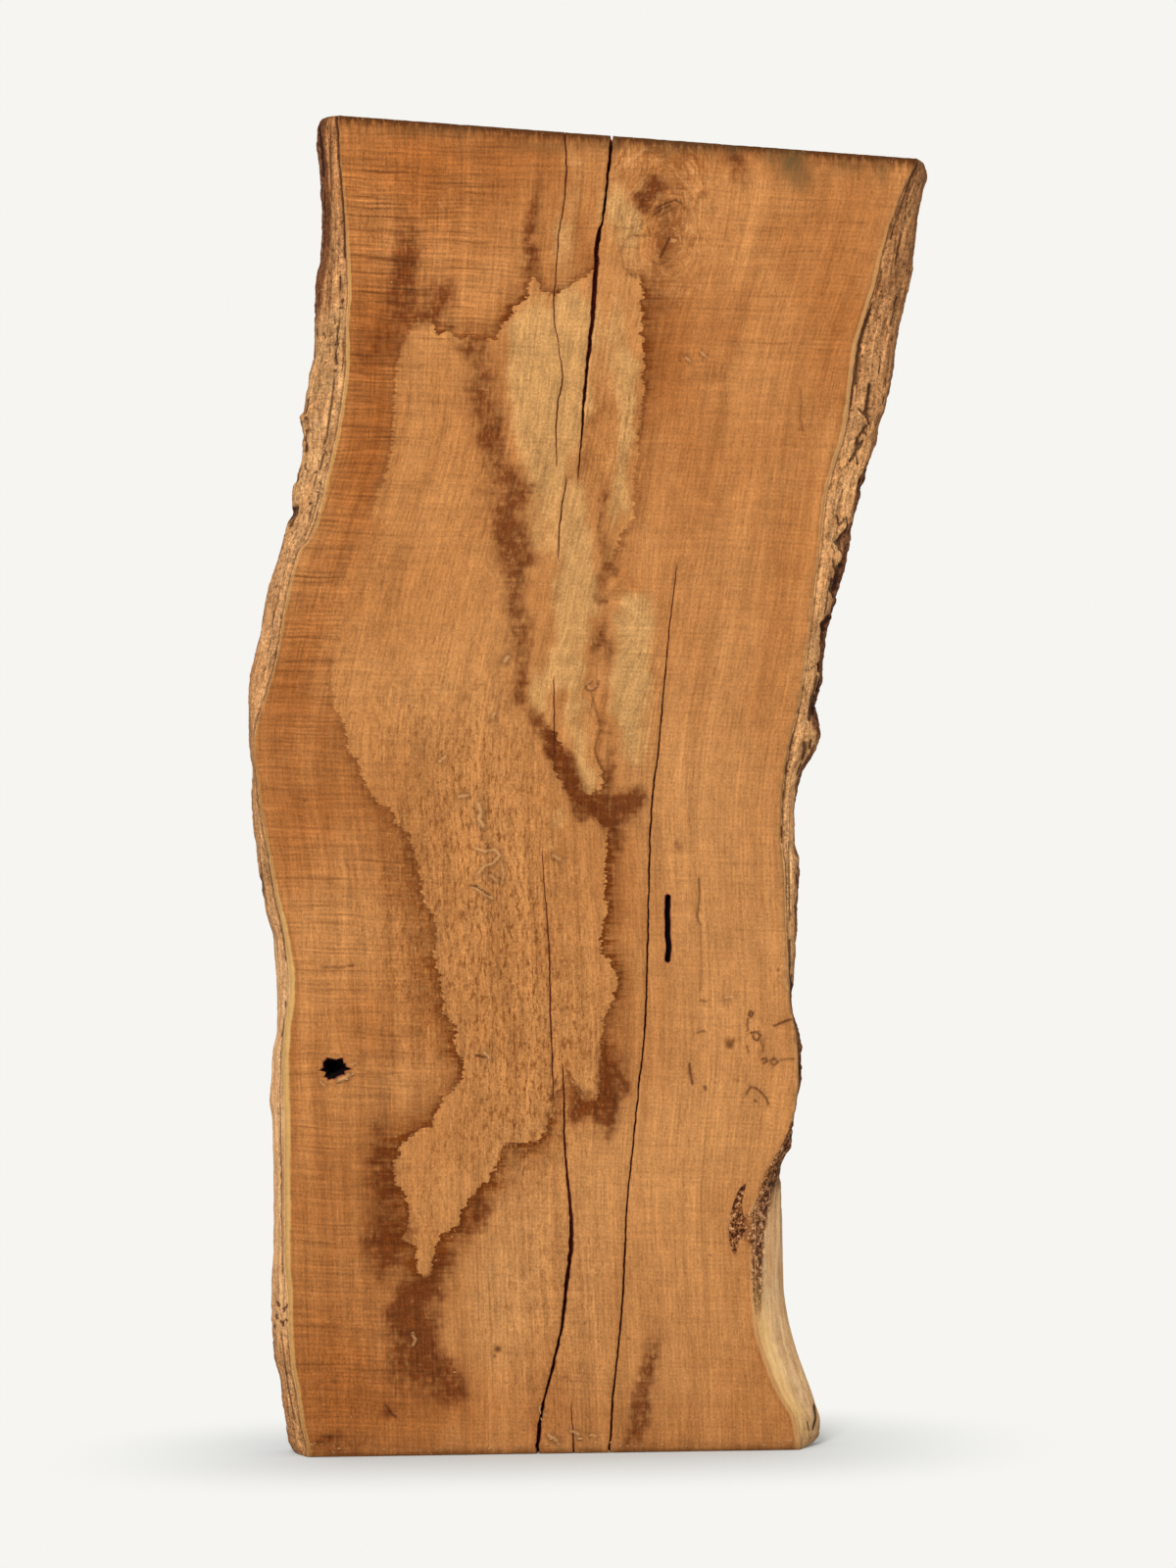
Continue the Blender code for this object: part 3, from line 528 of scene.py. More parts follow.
def edge_relief(side, down, across, right):
    """How far the surface stands in from the base, in units, what it is made of there, and how dark its cracks,
    crevices and pits are painted as shade.
    """
    t = across * DEEP
    fine = fbm(down / 3.2, t / 2.2, 3 + side, 3)
    lumps = fbm(down / 21, t / 11, 7 + side, 4)
    fibre = ridges(down / 60 + 0.35 * lumps, t / 3.4 + 0.02 * right, 11 + side, 3)
    plates = ridges(down / 26, t / 12 + 0.25 * lumps, 19 + side, 3)
    if side < 0:
        outer = table([(112, .42), (290, .42), (330, .30), (420, .32), (520, .28), (560, .22), (700, .35),
                       (950, .35), (1050, .28), (1130, .28), (1330, .25), (1380, .28), (1490, .34)], down)
        rim = table([(112, 6), (300, 6), (380, 7), (500, 6), (560, 4), (700, 4), (940, 4), (1050, 4),
                     (1350, 4), (1400, 6), (1490, 9)], down)
        crack_at = np.where(down < 800, table(LEFT_BAND_CRACK, down), table(LEFT_LOW_CRACK, down))
        crack_open = table([(112, 1.0), (170, 1.0), (260, .5), (330, .8), (400, .8), (500, .55),
                            (560, .7), (640, .6), (720, .3), (800, .0), (900, .3), (980, .7),
                            (1050, .8), (1100, .3), (1200, .5), (1330, .3), (1400, .5), (1490, .4)], down)
        bare = table([(112, 0), (900, 0), (960, .3), (1040, .5), (1180, .55), (1340, .3), (1380, 0), (1490, 0)], down)
        loose = table([(112, .2), (380, .4), (400, 1), (530, 1), (560, .3), (700, .2), (1330, .3), (1350, 1), (1490, .8)], down)
    else:
        outer = table([(156, .22), (250, .25), (300, .30), (420, .32), (500, .60), (780, .62), (820, .5), (860, .35),
                       (1000, .35), (1060, .85), (1150, .9), (1190, 1), (1236, .8), (1250, .0),
                       (1430, .0), (1446, .7), (1483, .8)], down)
        rim = table([(156, 10), (260, 7), (400, 6), (480, 7), (560, 11), (600, 9), (640, 10), (700, 8), (745, 13),
                     (770, 12), (790, 7), (830, 5), (1000, 6), (1050, 8), (1150, 8), (1180, 14), (1240, 6), (1483, 8)], down)
        crack_at = table(RIGHT_BAND_CRACK, down)
        crack_open = table([(156, 0), (296, 0), (312, .9), (345, 1.5), (384, 1.5), (408, 1.1), (430, .5),
                            (520, .4), (640, .5), (740, .8), (800, 1.0), (880, .9), (925, 0), (1483, 0)], down)
        bare = table([(156, 0), (1150, 0), (1195, .3), (1232, .8), (1262, 1), (1425, 1), (1450, .75),
                      (1483, .6)], down)
        loose = table([(156, .3), (300, .5), (420, .9), (800, 1.1), (860, .6), (1000, .6), (1160, 1), (1260, 0), (1483, .1)], down)
    face_side = side * (right - table(LEFT_LIP if side < 0 else RIGHT_LIP, down))
    to_rim = side * (table(LEFT_OUTLINE if side < 0 else RIGHT_OUTLINE, down) - right)
    behind = step(WIDEST_AT - 0.06, WIDEST_AT + 0.10, across)
    # bark: the dark outer skin near the silhouette and over the far half of the edge
    bark = np.clip(outer * np.clip(1.25 - to_rim / np.maximum(rim, 1), 0, 1) * 1.3, 0, 1)
    bark = np.maximum(bark, behind * table([(112, .9), (1180, .9), (1240, .9 if side < 0 else .25),
                                            (1490, .9 if side < 0 else .3)], down))
    bark = np.clip(bark + 0.45 * lumps * np.where(bark > 0.05, 1, 0) * (1 - bare), 0, 1)
    bark *= 1 - 0.9 * bare * step(0.0, 0.2, 1 - behind * 0.4)
    gap = np.exp(-(((right - crack_at) / (1.0 + 0.5 * crack_open)) ** 2)) * crack_open
    gap *= np.where((side > 0) & (down < 425), 1.0, np.clip(0.75 + 0.9 * noise(down / 6.0, 0.5, 41), 0.1, 1.4))
    crevice = np.clip((0.30 - np.abs(noise(down / 34 + 0.3 * lumps, t / 8.5, 23 + side))) * 3.3, 0, 1)
    crevice *= np.clip(0.3 + 1.2 * noise(down / 40, t / 15, 29 + side), 0, 1)
    pits = np.clip(fbm(down / 4.5, t / 4.0, 53 + side, 2) - 0.28, 0, 1) * 3
    torn = np.clip(noise(down / 9.0, 0.3 + t / 30, 61 + side), -1, 1) + 0.6 * noise(down / 3.7, t / 14, 63 + side)
    relief = (
        (1 - bare) * (0.55 * (1 - fibre) * 2.2 + 0.35 * fine)
        + bark * (1.4 * (1 - plates) * 2.0 + 2.6 * crevice + 0.8 * fine + 0.9 * pits)
        + loose * (1 - bare) * step(6, 1, to_rim) * (1.1 + 1.0 * torn)
        + 2.6 * gap
        + bare * (0.5 * lumps + 0.25 * (1 - fibre))
    )
    relief = relief - 0.5
    ends = step(0, 7, down - end_line(UPPER_END, right)) * step(0, 7, end_line(LOWER_END, right) - down)
    relief = relief * (0.35 + 0.65 * ends)
    # painted shade: darker in the cracks, in the bark's crevices and hollows and in the pits, where the relief stands
    # in
    dark = np.clip(0.9 * gap + bark * crevice * 0.9 + 0.5 * bark * (1 - plates) + 0.4 * pits * (1 - bare), 0, 1)
    # single marks that stand out; the notch and the holes are painted dark, as shade in them
    if side < 0:
        flap = np.exp(-(((down - 424) / 5) ** 2)) * step(8, 2, to_rim)
        notch = np.exp(-(((down - 521) / 5.5) ** 2)) * step(9, 3, to_rim)
        patch = np.exp(-(((down - 1342) / 13) ** 2)) * step(0.5, 0.1, across)
        holes = np.clip(noise(down / 3.2, t / 2.6, 71) - 0.25, 0, 1) * 2.5 * patch
        relief += -3.0 * flap + 4.0 * notch + 2.2 * holes - 0.8 * patch
        dark = np.clip(dark + 0.9 * notch + 1.2 * holes, 0, 1)
        bark = np.clip(bark - patch * 0.6, 0, 1)
    else:
        knob = np.exp(-(((down - 746) / 13) ** 2)) * step(14, 3, to_rim)
        relief += -1.2 * knob
        speck = np.exp(-(((right - table([(1150, 806), (1186, 795), (1217, 783), (1240, 775), (1335, 776), (1360, 778)], down)) / 5.5) ** 2))
        speck *= step(1120, 1165, down) * step(1350, 1290, down) * step(0.42, 0.25, across)
        bits = np.clip(fbm(down / 3.6, t / 3.0, 81, 2) + 0.18, 0, 1) * 2.0 * speck
        relief += 1.6 * bits - 0.7 * speck
    # the listed cracks and pits: cut in, and painted dark as shade in them
    scored = np.zeros_like(down)
    seen = across < 0.62
    for which, path, width, depth_ in EDGE_MARKS:
        if which == side:
            d = path_distance(right[seen], down[seen], path)
            near = np.exp(-((d / (width + 0.25)) ** 2))
            scored[seen] = np.maximum(scored[seen], near * min(1.0, 0.35 + 0.4 * depth_))
            relief[seen] += near * depth_ * 0.9
    dark = np.maximum(dark, scored)
    hold = step(0, 0.05, across) * step(1, 0.95, across)
    return relief * hold, bark, np.clip(dark * step(0, .03, across), 0, 1), bare, np.clip(fibre, 0, 1)


# Cracks and pits on the natural edges, painted dark as shade in them: (side, points (right, down), half width, depth in
# units).
EDGE_MARKS = [
    (1, [(889, 391), (888, 398), (887, 406), (886, 414), (886, 423)], 1.7, 3.2),
    (1, [(887, 416), (885, 421)], 2.4, 3.0), (1, [(886, 419), (881, 421), (877, 417)], 0.9, 1.6),
    (1, [(886, 424), (887, 431), (883, 435)], 0.9, 1.6), (1, [(884, 434), (882, 438), (878, 443)], 1.4, 2.4),
    (1, [(883, 437), (884, 443)], 1.0, 1.8), (1, [(876, 446), (875, 452), (876, 458)], 1.5, 2.6),
    (1, [(881, 449), (878, 455), (875, 460), (872, 465), (868, 470)], 1.6, 3.0),
    (1, [(875, 461), (875, 467), (876, 473)], 0.9, 1.8), (1, [(865, 473), (862, 477)], 0.9, 1.6),
    (1, [(860, 478), (858, 480)], 0.8, 1.2), (1, [(886, 394), (882, 395)], 0.6, 1.0),
    (1, [(879, 487), (877, 498)], 1.6, 2.4), (1, [(859, 490), (860, 500), (858, 510), (857, 520)], 0.8, 1.0),
    (1, [(855, 526), (857, 535), (860, 532), (862, 528), (865, 527), (866, 534), (865, 540)], 1.0, 2.0),
    (1, [(865, 540), (862, 543), (860, 548)], 1.8, 3.0), (1, [(860, 547), (858, 551), (855, 553)], 2.6, 3.6),
    (1, [(859, 552), (858, 559)], 2.0, 3.2), (1, [(859, 560), (862, 566), (861, 571)], 0.7, 1.2),
    (1, [(851, 571), (852, 576), (853, 580)], 1.4, 2.4), (1, [(849, 556), (852, 562), (850, 568)], 0.7, 1.2),
    (1, [(860, 575), (857, 578), (856, 585), (855, 592), (853, 600)], 2.5, 3.8),
    (1, [(850, 590), (850, 598)], 1.6, 2.4), (1, [(848, 600), (851, 604), (852, 608)], 1.6, 2.6),
    (1, [(846, 602), (845, 610), (844, 618), (842, 625)], 0.8, 1.6),
    (1, [(848, 629), (845, 633), (841, 637), (843, 641)], 2.8, 4.0), (1, [(836, 676), (831, 680), (825, 684)], 0.8, 1.2),
    (1, [(838, 677), (837, 684)], 2.0, 3.0), (1, [(835, 690), (833, 700), (831, 710), (829, 722), (827, 735)], 1.8, 2.2),
    (1, [(838, 694), (836, 704)], 1.2, 1.6), (1, [(833, 716), (831, 728)], 1.2, 1.6),
    (1, [(822, 758), (822, 766), (820, 774)], 2.0, 2.0), (1, [(828, 755), (827, 763)], 1.2, 1.6),
    (1, [(818, 780), (814, 790)], 1.4, 1.8), (1, [(904, 384), (904, 392)], 0.9, 1.2), (1, [(903, 402), (902, 410)], 0.9, 1.2),
    (1, [(915, 300), (912, 315), (909, 330)], 1.0, 1.2), (1, [(906, 330), (900, 360), (897, 380)], 0.9, 1.0),
    (1, [(920, 236), (915, 262), (911, 280)], 0.8, 0.9), (1, [(926, 205), (921, 236), (914, 268)], 0.8, 0.9),
    (1, [(936, 166), (930, 180), (921, 206), (909, 244)], 1.0, 1.1), (1, [(805, 860), (806, 900), (806, 940)], 0.8, 0.9),
    (1, [(806, 960), (807, 990), (810, 1015)], 1.4, 1.4), (1, [(813, 1018), (811, 1026)], 1.8, 2.2),
    (1, [(817, 1085), (818, 1094), (816, 1104)], 1.4, 1.8), (1, [(831, 1438), (833, 1450), (830, 1462)], 1.2, 1.6),
    (1, [(824, 1452), (826, 1462)], 1.0, 1.2),
    (-1, [(342, 115), (343, 130), (344.5, 150), (346, 166), (347, 185), (348.5, 202), (350, 222), (351, 262)], 1.2, 1.8),
    (-1, [(323, 120), (326, 136), (328.5, 156), (329, 176)], 1.5, 1.6), (-1, [(334, 128), (336, 150), (337, 176), (338, 205)], 0.8, 0.8),
    (-1, [(330, 190), (331, 220), (330, 250)], 0.9, 0.9), (-1, [(345, 313), (350, 313)], 1.2, 1.6),
    (-1, [(342, 318), (341, 330)], 0.8, 1.0), (-1, [(343, 336), (343, 345), (343, 352)], 1.2, 1.6),
    (-1, [(341, 349), (344, 351)], 1.6, 2.0), (-1, [(341, 358), (342, 366)], 1.0, 1.4), (-1, [(341, 369), (343, 370)], 1.9, 2.2),
    (-1, [(340, 377), (342, 377)], 1.6, 1.8), (-1, [(340, 380), (339.5, 392), (338.5, 404)], 1.0, 1.8),
    (-1, [(350, 345), (350, 360), (349, 372), (349, 386)], 0.8, 0.8), (-1, [(347, 282), (346, 296)], 1.0, 1.2),
    (-1, [(338, 404), (337, 412), (335, 420), (334, 430), (332, 441), (330, 452)], 1.2, 2.4),
    (-1, [(331, 459), (333, 463)], 1.2, 1.6), (-1, [(329, 464), (328, 472), (325, 479)], 0.9, 1.4),
    (-1, [(333, 473), (329, 485), (326, 497), (323, 510), (320, 520), (318, 531)], 0.8, 1.0),
    (-1, [(323, 507), (323, 509)], 1.4, 1.6), (-1, [(313, 405), (311, 419)], 1.4, 1.8), (-1, [(312, 423), (313, 426)], 1.3, 1.6),
    (-1, [(315, 436), (317, 437)], 1.2, 1.4), (-1, [(312, 437), (310, 446)], 1.4, 1.8), (-1, [(311, 450), (310.5, 458)], 1.6, 2.2),
    (-1, [(310, 471), (311, 476)], 1.4, 1.6), (-1, [(303, 486), (302, 490)], 1.1, 1.2), (-1, [(324, 296), (324, 310)], 1.0, 1.0),
    (-1, [(330, 338), (332, 344)], 1.2, 1.2), (-1, [(322, 332), (323, 342)], 1.0, 1.2),
    (-1, [(297, 517), (302, 517), (301, 522), (298, 528), (295, 535)], 2.0, 3.6),
    (-1, [(306, 561), (302, 580), (296, 598), (291, 620), (287, 640)], 0.9, 1.2),
    (-1, [(283, 665), (276, 690), (268, 716)], 0.8, 1.0), (-1, [(296, 560), (290, 584), (283, 610), (276, 640)], 0.8, 0.8),
    (-1, [(286, 880), (284, 960)], 0.5, 0.5), (-1, [(289, 1047), (286, 1074), (285, 1120), (286, 1198), (287.5, 1300)], 0.9, 1.0),
    (-1, [(282, 1331), (284, 1334)], 1.8, 2.4), (-1, [(289, 1336), (290, 1338)], 1.5, 2.0), (-1, [(280, 1345), (282, 1347)], 1.6, 2.2),
    (-1, [(286, 1350), (288, 1352)], 1.4, 2.0), (-1, [(278, 1356), (279, 1358)], 1.4, 1.6),
    (-1, [(287, 1362), (290, 1390), (294, 1420), (300, 1450)], 0.9, 1.1), (-1, [(311, 1470), (314, 1480)], 1.4, 1.2),
]

ROWS = 600
COLUMNS = 33


def row_shares():
    s = np.linspace(0, 1, ROWS + 1)
    near = np.array([0.0, 0.0006, 0.0013, 0.0022, 0.0034])
    s = np.concatenate([near, s[(s > 0.0045) & (s < 1 - 0.0045)], 1 - near[::-1]])
    return s


def edge_grid(side):
    """The grid of one natural edge: places, what each is made of, and its painted shade."""
    shares = row_shares()
    across = np.linspace(0, 1, COLUMNS + 1)
    # closer lines where the edge turns into the faces
    across = across + 0.012 * np.sin(2 * np.pi * across) * -1.0
    s, a = np.meshgrid(shares, across, indexing="ij")
    right = np.full(s.shape, ZERO_RIGHT + side * 250.0)
    for _ in range(6):
        down = (1 - s) * end_line(UPPER_END, right) + s * end_line(LOWER_END, right)
        right = edge_base(side, down, a)
    flat_down, flat_across, flat_right = down.ravel(), a.ravel(), right.ravel()
    relief, bark, dark, bare, fibre = edge_relief(side, flat_down, flat_across, flat_right)
    moved = flat_right - side * relief
    wander = 0.7 * fbm(flat_down / 9, 3.0 + 0 * flat_down, 91 + side, 3) + 0.5 * noise(flat_down / 3.1, 1.0, 93 + side)
    rough_lip = table([(112, .6), (300, .3), (900, .4), (1483, .5)], flat_down)
    moved = moved + np.where(flat_across < 0.001, 1, step(0.12, 0.0, flat_across)) * wander * rough_lip
    # keep the ends on their saw cuts
    down2 = (1 - s.ravel()) * end_line(UPPER_END, moved) + s.ravel() * end_line(LOWER_END, moved)
    depth = flat_across * DEEP
    shape = s.shape
    return {
        "shape": shape, "right": moved.reshape(shape), "down": down2.reshape(shape),
        "depth": depth.reshape(shape), "across": a, "bark": bark.reshape(shape),
        "dark": dark.reshape(shape), "bare": bare.reshape(shape), "fibre": fibre.reshape(shape),
    }


# ================================================================ the whole net
EDGE_KEYS = ("bark", "dark", "bare", "fibre")


class Net:
    """Vertices and triangles of the slab, gathered part by part."""

    def __init__(self):
        self.right, self.down, self.depth, self.kind = [], [], [], []
        self.extra = {k: [] for k in EDGE_KEYS + ("deep", "mark", "across", "side")}
        self.count = 0
        self.faces, self.face_kind = [], []

    def add(self, right, down, depth, kind, **extra):
        n = len(right)
        self.right.append(np.asarray(right, float))
        self.down.append(np.asarray(down, float))
        self.depth.append(np.asarray(depth, float))
        self.kind.append(np.full(n, kind))
        for k in self.extra:
            self.extra[k].append(np.asarray(extra.get(k, np.zeros(n)), float))
        first = self.count
        self.count += n
        return np.arange(first, first + n)

    def close(self):
        self.right, self.down = np.concatenate(self.right), np.concatenate(self.down)
        self.depth, self.kind = np.concatenate(self.depth), np.concatenate(self.kind)
        self.extra = {k: np.concatenate(v) for k, v in self.extra.items()}
        self.faces = np.concatenate(self.faces)
        self.face_kind = np.concatenate(self.face_kind)

    def put(self, faces, kind):
        self.faces.append(np.asarray(faces, np.int64).reshape(-1, 3))
        self.face_kind.append(np.full(len(self.faces[-1]), kind))


FACE, BACK, LEFT, RIGHT, TOP, FOOT = range(6)
net = Net()

# ---------------------------------------------------------------- natural edges
grids = {}
for side, kind in ((-1, LEFT), (1, RIGHT)):
    g = edge_grid(side)
    ids = net.add(
        g["right"].ravel(), g["down"].ravel(), g["depth"].ravel(), kind,
        bark=g["bark"].ravel(), dark=g["dark"].ravel(), bare=g["bare"].ravel(),
        fibre=g["fibre"].ravel(), across=g["across"].ravel(), side=np.full(g["right"].size, side),
    ).reshape(g["shape"])
    g["ids"] = ids
    grids[side] = g
    a, b, c, d = ids[:-1, :-1].ravel(), ids[:-1, 1:].ravel(), ids[1:, 1:].ravel(), ids[1:, :-1].ravel()
    if side > 0:
        quads = np.stack([a, d, c, a, c, b], axis=1)
    else:
        quads = np.stack([a, b, c, a, c, d], axis=1)
    net.put(quads.reshape(-1, 3), kind)

LIP_L = (grids[-1]["down"][:, 0], grids[-1]["right"][:, 0])
LIP_R = (grids[1]["down"][:, 0], grids[1]["right"][:, 0])
REAR_L = (grids[-1]["down"][:, -1], grids[-1]["right"][:, -1])
REAR_R = (grids[1]["down"][:, -1], grids[1]["right"][:, -1])


# ---------------------------------------------------------------- what is cut into a face
def crack_rows(stations, seed, pitch=2.6):
    """Rows of points across a check: (right, down, depth) for seven places on each row."""
    downs = np.array([p[0] for p in stations], float)
    n = int((downs[-1] - downs[0]) / pitch)
    at = np.linspace(downs[0], downs[-1], n + 1)
    mid = table([(p[0], p[1]) for p in stations], at)
    wide = table([(p[0], p[2]) for p in stations], at)
    deep = table([(p[0], p[3]) for p in stations], at) * 0.001 / UNIT
    mid = mid + 0.35 * noise(at / 11, 0, seed) + 0.30 * noise(at / 3.7, 1, seed)
    left = wide * (0.5 + 0.16 * noise(at / 4.3, 2, seed) + 0.10 * noise(at / 13, 5, seed))
    right = wide * (0.5 + 0.16 * noise(at / 4.9, 3, seed) + 0.10 * noise(at / 15, 6, seed))
    kept = []
    for k in (-1, 1):
        w = (left if k < 0 else right) * 0.80
        kept.append((mid + k * (w + 0.9), np.zeros_like(at), 0.0))
        kept.append((mid + k * w, 0.35 + 0.02 * deep, 0.35))
        kept.append((mid + k * (w * 0.55), 0.72 * deep, 1.0))
    kept.append((mid, deep, 1.0))
    order = (0, 1, 2, 6, 5, 4, 3)
    r = np.stack([kept[i][0] for i in order], axis=1)
    z = np.stack([kept[i][1] for i in order], axis=1)
    t = np.tile(np.array([kept[i][2] for i in order]), (len(at), 1))
    taper = np.clip(np.minimum(at - at[0], at[-1] - at) / 6, 0, 1)
    return r, np.repeat(at[:, None], 7, axis=1), z, t, taper


def build_face(kind, depth_here, inward, lips, side_ids, features, spacing, seed, light=None):
    """A sawn face as a constrained net of triangles. Returns the ids of its two end rows."""
    (ld, lr), (rd, rr) = lips
    ids_l, ids_r = side_ids
    pts, z_in, deep, shared = [], [], [], []
    edges = []
    keepout = np.zeros((1640, 1000), bool)
    fine = np.zeros((1640, 1000), bool)

    def block(mask, right, down, radius):
        k = int(math.ceil(radius))
        for dy in range(-k, k + 1):
            for dx in range(-k, k + 1):
                if dx * dx + dy * dy <= radius * radius:
                    yy = np.clip(np.round(down).astype(int) + dy, 0, 1639)
                    xx = np.clip(np.round(right).astype(int) + dx, 0, 999)
                    mask[yy, xx] = True

    def push(right, down, z, dp, ids=None):
        first = sum(len(p) for p in pts)
        n = len(right)
        pts.append(np.stack([right, down], axis=1))
        z_in.append(np.asarray(z, float) * np.ones(n))
        deep.append(np.asarray(dp, float) * np.ones(n))
        shared.append(np.full(n, -1) if ids is None else np.asarray(ids))
        return np.arange(first, first + n)

    left = push(lr, ld, 0, 0, ids_l)
    right_side = push(rr, rd, 0, 0, ids_r)
    for row in (left, right_side):
        edges += list(zip(row[:-1].tolist(), row[1:].tolist()))
    block(keepout, lr, ld, 2.2)
    block(keepout, rr, rd, 2.2)
    ends = {}
    end_marks = {TOP: [], FOOT: []}
    inner_cracks = []
    for name, stations in features["cracks"]:
        r, d, z, t, taper = crack_rows(stations, seed + len(name) + int(stations[0][1]))
        top_line, foot_line = end_line(UPPER_END, r), end_line(LOWER_END, r)
        inside = (d > top_line + 1.6) & (d < foot_line - 1.6)
        rows = np.where(inside.all(axis=1))[0]
        runs_top, runs_foot = (~inside).any(axis=1) & (d[:, 0] < 800), (~inside).any(axis=1) & (d[:, 0] > 800)
        grid = np.full(r.shape, -1)
        for i in rows:
            soft = 1.0 if runs_top.any() and i == rows[0] else taper[i]
            soft = 1.0 if runs_foot.any() and i == rows[-1] else soft
            grid[i] = push(r[i], d[i], z[i] * soft, t[i] * min(1, 0.35 + soft))
        sub = grid[rows]
        for col in range(7):
            line = sub[:, col].tolist()
            edges += list(zip(line[:-1], line[1:]))
        for row in (0, -1):
            line = sub[row].tolist()
            edges += list(zip(line[:-1], line[1:]))
        block(keepout, r[rows].ravel(), d[rows].ravel(), 2.1)
        if runs_top.any():
            i = rows[0]
            end_marks[TOP].append((r[i], z[i], t[i], sub[0]))
        if runs_foot.any():
            i = rows[-1]
            end_marks[FOOT].append((r[i], z[i], t[i], sub[-1]))
    for end, line in ((TOP, UPPER_END), (FOOT, LOWER_END)):
        i = 0 if end == TOP else -1
        a, b = lr[i], rr[i]
        marks = sorted(end_marks[end], key=lambda m: m[0][0])
        row_r, row_z, row_t, link = [], [], [], []
        at = a
        for r, z, t, ids in marks + [(np.array([b]), None, None, None)]:
            n = max(1, int((r[0] - at) / 4.2))
            mids = at + (r[0] - at) * np.arange(1, n) / n
            row_r += mids.tolist()
            row_z += [0.0] * len(mids)
            row_t += [0.0] * len(mids)
            link += [-1] * len(mids)
            if z is not None:
                row_r += r.tolist()
                row_z += z.tolist()
                row_t += t.tolist()
                link += ids.tolist()
                at = r[-1]
        row_r, row_z, row_t = np.array(row_r), np.array(row_z), np.array(row_t)
        wobble = 0.5 * fbm(row_r / 7, 0.5, seed + end, 3) * (1.5 if end == TOP else 0.8)
        row_d = end_line(line, row_r) + (np.abs(wobble) if end == TOP else -np.abs(wobble)) * (row_z == 0)
        idx = push(row_r, row_d, row_z, row_t)
        chain = [int(left[i])] + idx.tolist() + [int(right_side[i])]
        edges += list(zip(chain[:-1], chain[1:]))
        for k, l in enumerate(link):
            if l >= 0:
                edges.append((int(idx[k]), int(l)))
        block(keepout, row_r, row_d, 2.2)
        ends[end] = (chain, row_d)

    for rings in features.get("rings", ()):
        for right, down, z, t, closed in rings:
            idx = push(right, down, z, t)
            line = idx.tolist()
            edges += list(zip(line[:-1], line[1:]))
            if closed:
                edges.append((line[-1], line[0]))
            block(keepout, right, down, 1.6)
    for right, down, radius in features.get("fine", ()):
        block(fine, right, down, radius)

    def scatter(step_, want, seed_):
        nx, ny = int(720 / step_), int(1380 / (step_ * 0.8660254))
        jx, jy = np.meshgrid(np.arange(nx), np.arange(ny))
        x = 245 + (jx + 0.5 * (jy % 2)) * step_
        y = 128 + jy * step_ * 0.8660254
        x = (x + 0.26 * step_ * lattice(jx, jy, seed_)).ravel()
        y = (y + 0.26 * step_ * lattice(jx, jy, seed_ + 1)).ravel()
        lx, rx = np.interp(y, ld, lr), np.interp(y, rd, rr)
        pad = 0.42 * step_
        ok = (x > lx + pad) & (x < rx - pad)
        ok &= (y > end_line(UPPER_END, x) + pad + 1) & (y < end_line(LOWER_END, x) - pad - 1)
        x, y = x[ok], y[ok]
        yy, xx = np.clip(np.round(y).astype(int), 0, 1639), np.clip(np.round(x).astype(int), 0, 999)
        ok = want(x, y, yy, xx) & ~keepout[yy, xx]
        return x[ok], y[ok]

    close_in = np.zeros_like(fine)
    if light is not None:
        block(close_in, light[:, 0], light[:, 1], 8)
    grow = fine.copy()
    for dy in (-1, 0, 1):
        for dx in (-1, 0, 1):
            grow |= np.roll(np.roll(fine, dy, 0), dx, 1)
    x, y = scatter(spacing, lambda x, y, yy, xx: ~close_in[yy, xx] & ~grow[yy, xx], seed)
    push(x, y, 0, 0)
    if light is not None:
        x, y = scatter(min(3.7, spacing), lambda x, y, yy, xx: close_in[yy, xx] & ~grow[yy, xx], seed + 2)
        push(x, y, 0, 0)
    x, y = scatter(1.5, lambda x, y, yy, xx: fine[yy, xx], seed + 4)
    push(x, y, 0, 0)

    all_pts = np.concatenate(pts)
    z_all, t_all, s_all = np.concatenate(z_in), np.concatenate(deep), np.concatenate(shared)
    out = delaunay_2d_cdt([Vector(p) for p in all_pts.tolist()], edges, [], 0, 1e-5, True)
    verts = np.array([(v.x, v.y) for v in out[0]])
    faces = np.array(out[2], np.int64)
    source = np.array([o[0] if len(o) else -1 for o in out[3]])
    z = np.where(source >= 0, z_all[source], 0.0)
    t = np.where(source >= 0, t_all[source], 0.0)
    s = np.where(source >= 0, s_all[source], -1)
    for k in np.where(source < 0)[0]:
        near = np.argmin((all_pts[:, 0] - verts[k, 0]) ** 2 + (all_pts[:, 1] - verts[k, 1]) ** 2)
        z[k], t[k] = z_all[near], t_all[near]
    # drop what is outside the outline
    c = verts[faces].mean(axis=1)
    lx, rx = np.interp(c[:, 1], ld, lr), np.interp(c[:, 1], rd, rr)
    keep = (c[:, 0] > lx + 0.003) & (c[:, 0] < rx - 0.003)
    for end in (TOP, FOOT):
        chain = np.array(ends[end][0])
        line = np.interp(c[:, 0], all_pts[chain, 0], all_pts[chain, 1])
        keep &= (c[:, 1] > line + 0.01) if end == TOP else (c[:, 1] < line - 0.01)
    faces = faces[keep]
    a = verts[faces]
    area = (a[:, 1, 0] - a[:, 0, 0]) * (a[:, 2, 1] - a[:, 0, 1]) - (a[:, 1, 1] - a[:, 0, 1]) * (a[:, 2, 0] - a[:, 0, 0])
